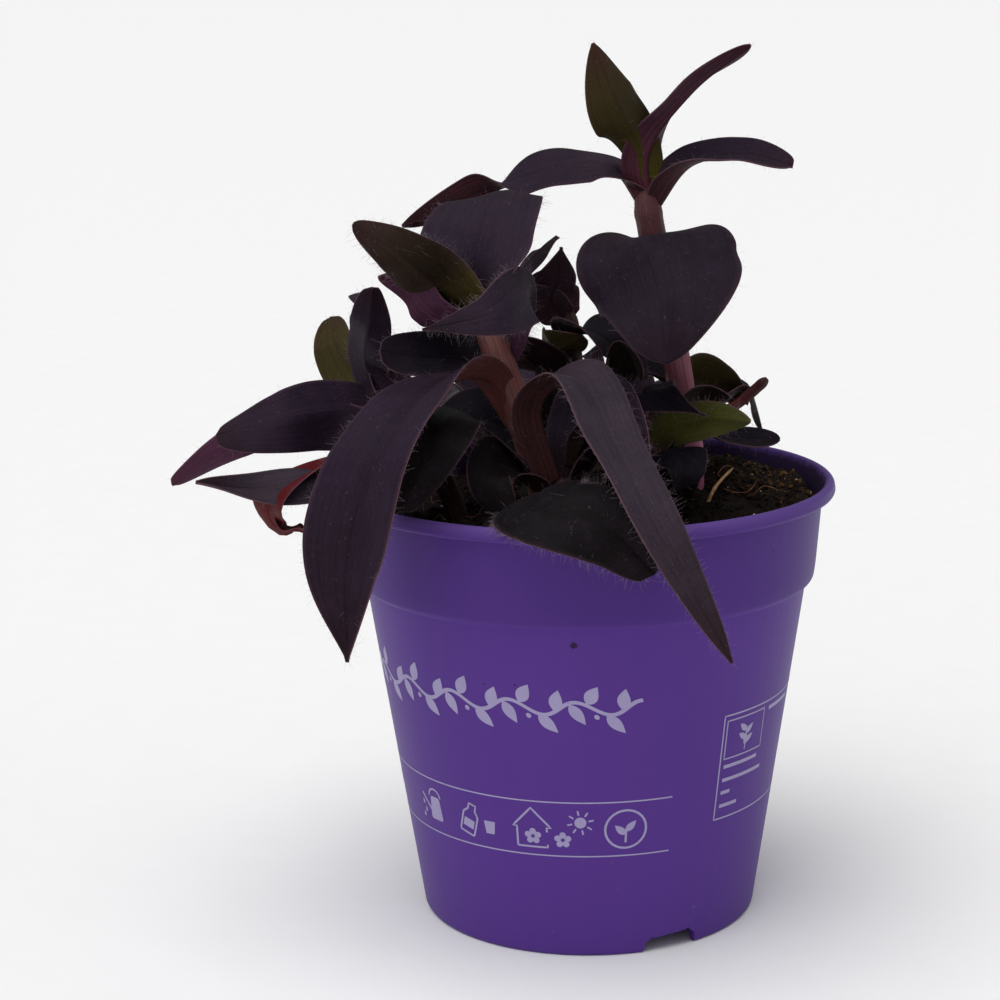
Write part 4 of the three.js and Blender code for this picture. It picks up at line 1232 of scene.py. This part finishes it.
        ("back_left_c", "wine", "dusk wine", 0.5, [(-25, 30, 116), (-34, 31, 127), (-44, 35, 130)],
         (13, 0.4, 0.5, 0.8), (0, 0, 0), (50, 16, 10), (10, 5, 5)),
    ],
}


def nearest_share(knots, place):
    path, _ = spline(knots, 60)
    return float(np.argmin(np.linalg.norm(path - np.array(place), axis=1)) / 60)


def build_stems(skin, hairs):
    for name, (knots, low, high, colours) in STEMS.items():
        swell = [(nearest_share(knots, leaf[4][0]), 0.45) for leaf in LEAVES[name][:7]]
        made = tube("stem_" + name + "_skin", knots, low, high, swell, colours, [skin], seed=len(name))
        point_values(made, "hairy", np.ones(len(made.data.vertices)))
        grow(made, hairs, Density=STEM_HAIRS, Length=1.5, Seed=len(name))
        belongs(made, "stem", "stem_" + name)


def build_leaves(skin, hairs):
    rows = [row for group in LEAVES.values() for row in group]
    for k, (name, slot, looks, hair, knots, sizes, roll, fold, cup) in enumerate(rows):
        top, under = looks.split()
        points, faces, info = blade(knots, sizes, roll, fold, cup, 100 + k)
        made = make_object("leaf_" + name + "_blade", points, faces, [skin])
        length = np.repeat(info["t"] * info["length"], len(info["v"]))
        across = np.tile(info["v"] * info["width"] / 2, len(info["t"]))
        uv = np.vstack([np.stack([across, length], 1), [[0, 0]], [[0, info["length"]]]])
        point_uv(made, "Blade", uv)
        point_values(made, "tone", leaf_tones(info, PALETTE[top], PALETTE[under]))
        hairy = np.where(info["edge"] > 0, 1.0, UPPER_SHARE + info["under"] * UNDER_SHARE)
        values = {"edge": info["edge"], "under": info["under"], "rim": info["rim"],
                  "blush": info["under"] * (under in BLUSHED), "hairy": hairy}
        for key, value in values.items():
            point_values(made, key, spread(info, value))
        grow(made, hairs, Density=EDGE_HAIRS * hair, Length=1.4 + 0.45 * hair, Seed=k)
        belongs(made, "leaf_" + slot, "leaf_" + name)


def build_small(skin, dry, hairs):
    knots = [(26, 10, 115), (33, 12, 119), (38, 13, 122), (45, 13, 128)]
    colours = [(70, 16, 26), (84, 18, 28), (50, 10, 16)]
    stalk = tube("cut_flower_stalk_skin", knots, 1.1, 1.2, [(0.5, 0.25), (0.95, 0.25)], colours,
                 [skin], 40, 16)
    point_values(stalk, "hairy", np.ones(len(stalk.data.vertices)))
    grow(stalk, hairs, Density=STALK_HAIRS, Length=1.2, Seed=3)
    belongs(stalk, "leaf_wine", "cut_flower_stalk")
    knots = [(28, -11, 96.5), (28.6, -9, 99), (31.4, 1, 103), (36.6, 12, 106)]
    straw = tube("straw_fibre", knots, 0.4, 0.36, [(0.55, 0.1)], [(150, 110, 74)] * 2, [dry], 40, 12,
                 wobble=0.25)
    belongs(straw, "straw", "straw")


def build_stage():
    marks = (-FLOOR_REACH, -FLOOR_MIDDLE, FLOOR_MIDDLE, FLOOR_REACH)
    points = [(x, y, 0) for y in marks for x in marks]
    faces = [(k, k + 1, k + 5, k + 4) for k in (0, 1, 2, 4, 5, 6, 8, 9, 10)]
    make_object("floor", points, faces, [floor_material()], smooth=False)
    scene = bpy.context.scene
    scene.world = bpy.data.worlds.new("studio")
    scene.world.use_nodes = True
    background = scene.world.node_tree.nodes["Background"]
    background.inputs[0].default_value = (1.0, 1.0, 1.0, 1.0)
    background.inputs[1].default_value = WORLD_LIGHT
    for name, at, width, power in LIGHTS:
        lamp = bpy.data.lights.new(name, "SUN")
        lamp.angle = math.radians(width)
        lamp.energy = power
        made = bpy.data.objects.new(name, lamp)
        made.location = at
        made.rotation_euler = (-Vector(at)).to_track_quat("-Z", "Y").to_euler()
        scene.collection.objects.link(made)
    eye = bpy.data.cameras.new("camera")
    eye.sensor_width = SENSOR
    eye.lens = LENS
    eye.clip_start, eye.clip_end = CLIP
    camera = bpy.data.objects.new("camera", eye)
    right, up = Vector(CAMERA_RIGHT), Vector(CAMERA_UP)
    turn = Matrix((right, up, right.cross(up))).transposed()
    camera.matrix_world = Matrix.Translation(CAMERA_PLACE) @ turn.to_4x4()
    scene.collection.objects.link(camera)
    scene.camera = camera
    scene.view_settings.view_transform = "Standard"


build_stage()
hair = hair_material()
hairs = hair_tree(hair)
leaf_skin = leaf_material()
stem_skin = stem_material()
straw_skin = dry_material("dry_fibre", rgb(120, 84, 52), rgb(196, 158, 116), 320.0)
root_skin = dry_material("root_fibre", rgb(66, 34, 28), rgb(150, 104, 74), 420.0)
build_pot()
build_print()
build_soil(crumb_material())
build_fibres(root_skin)
build_stems(stem_skin, hairs)
build_leaves(leaf_skin, hairs)
build_small(stem_skin, straw_skin, hairs)
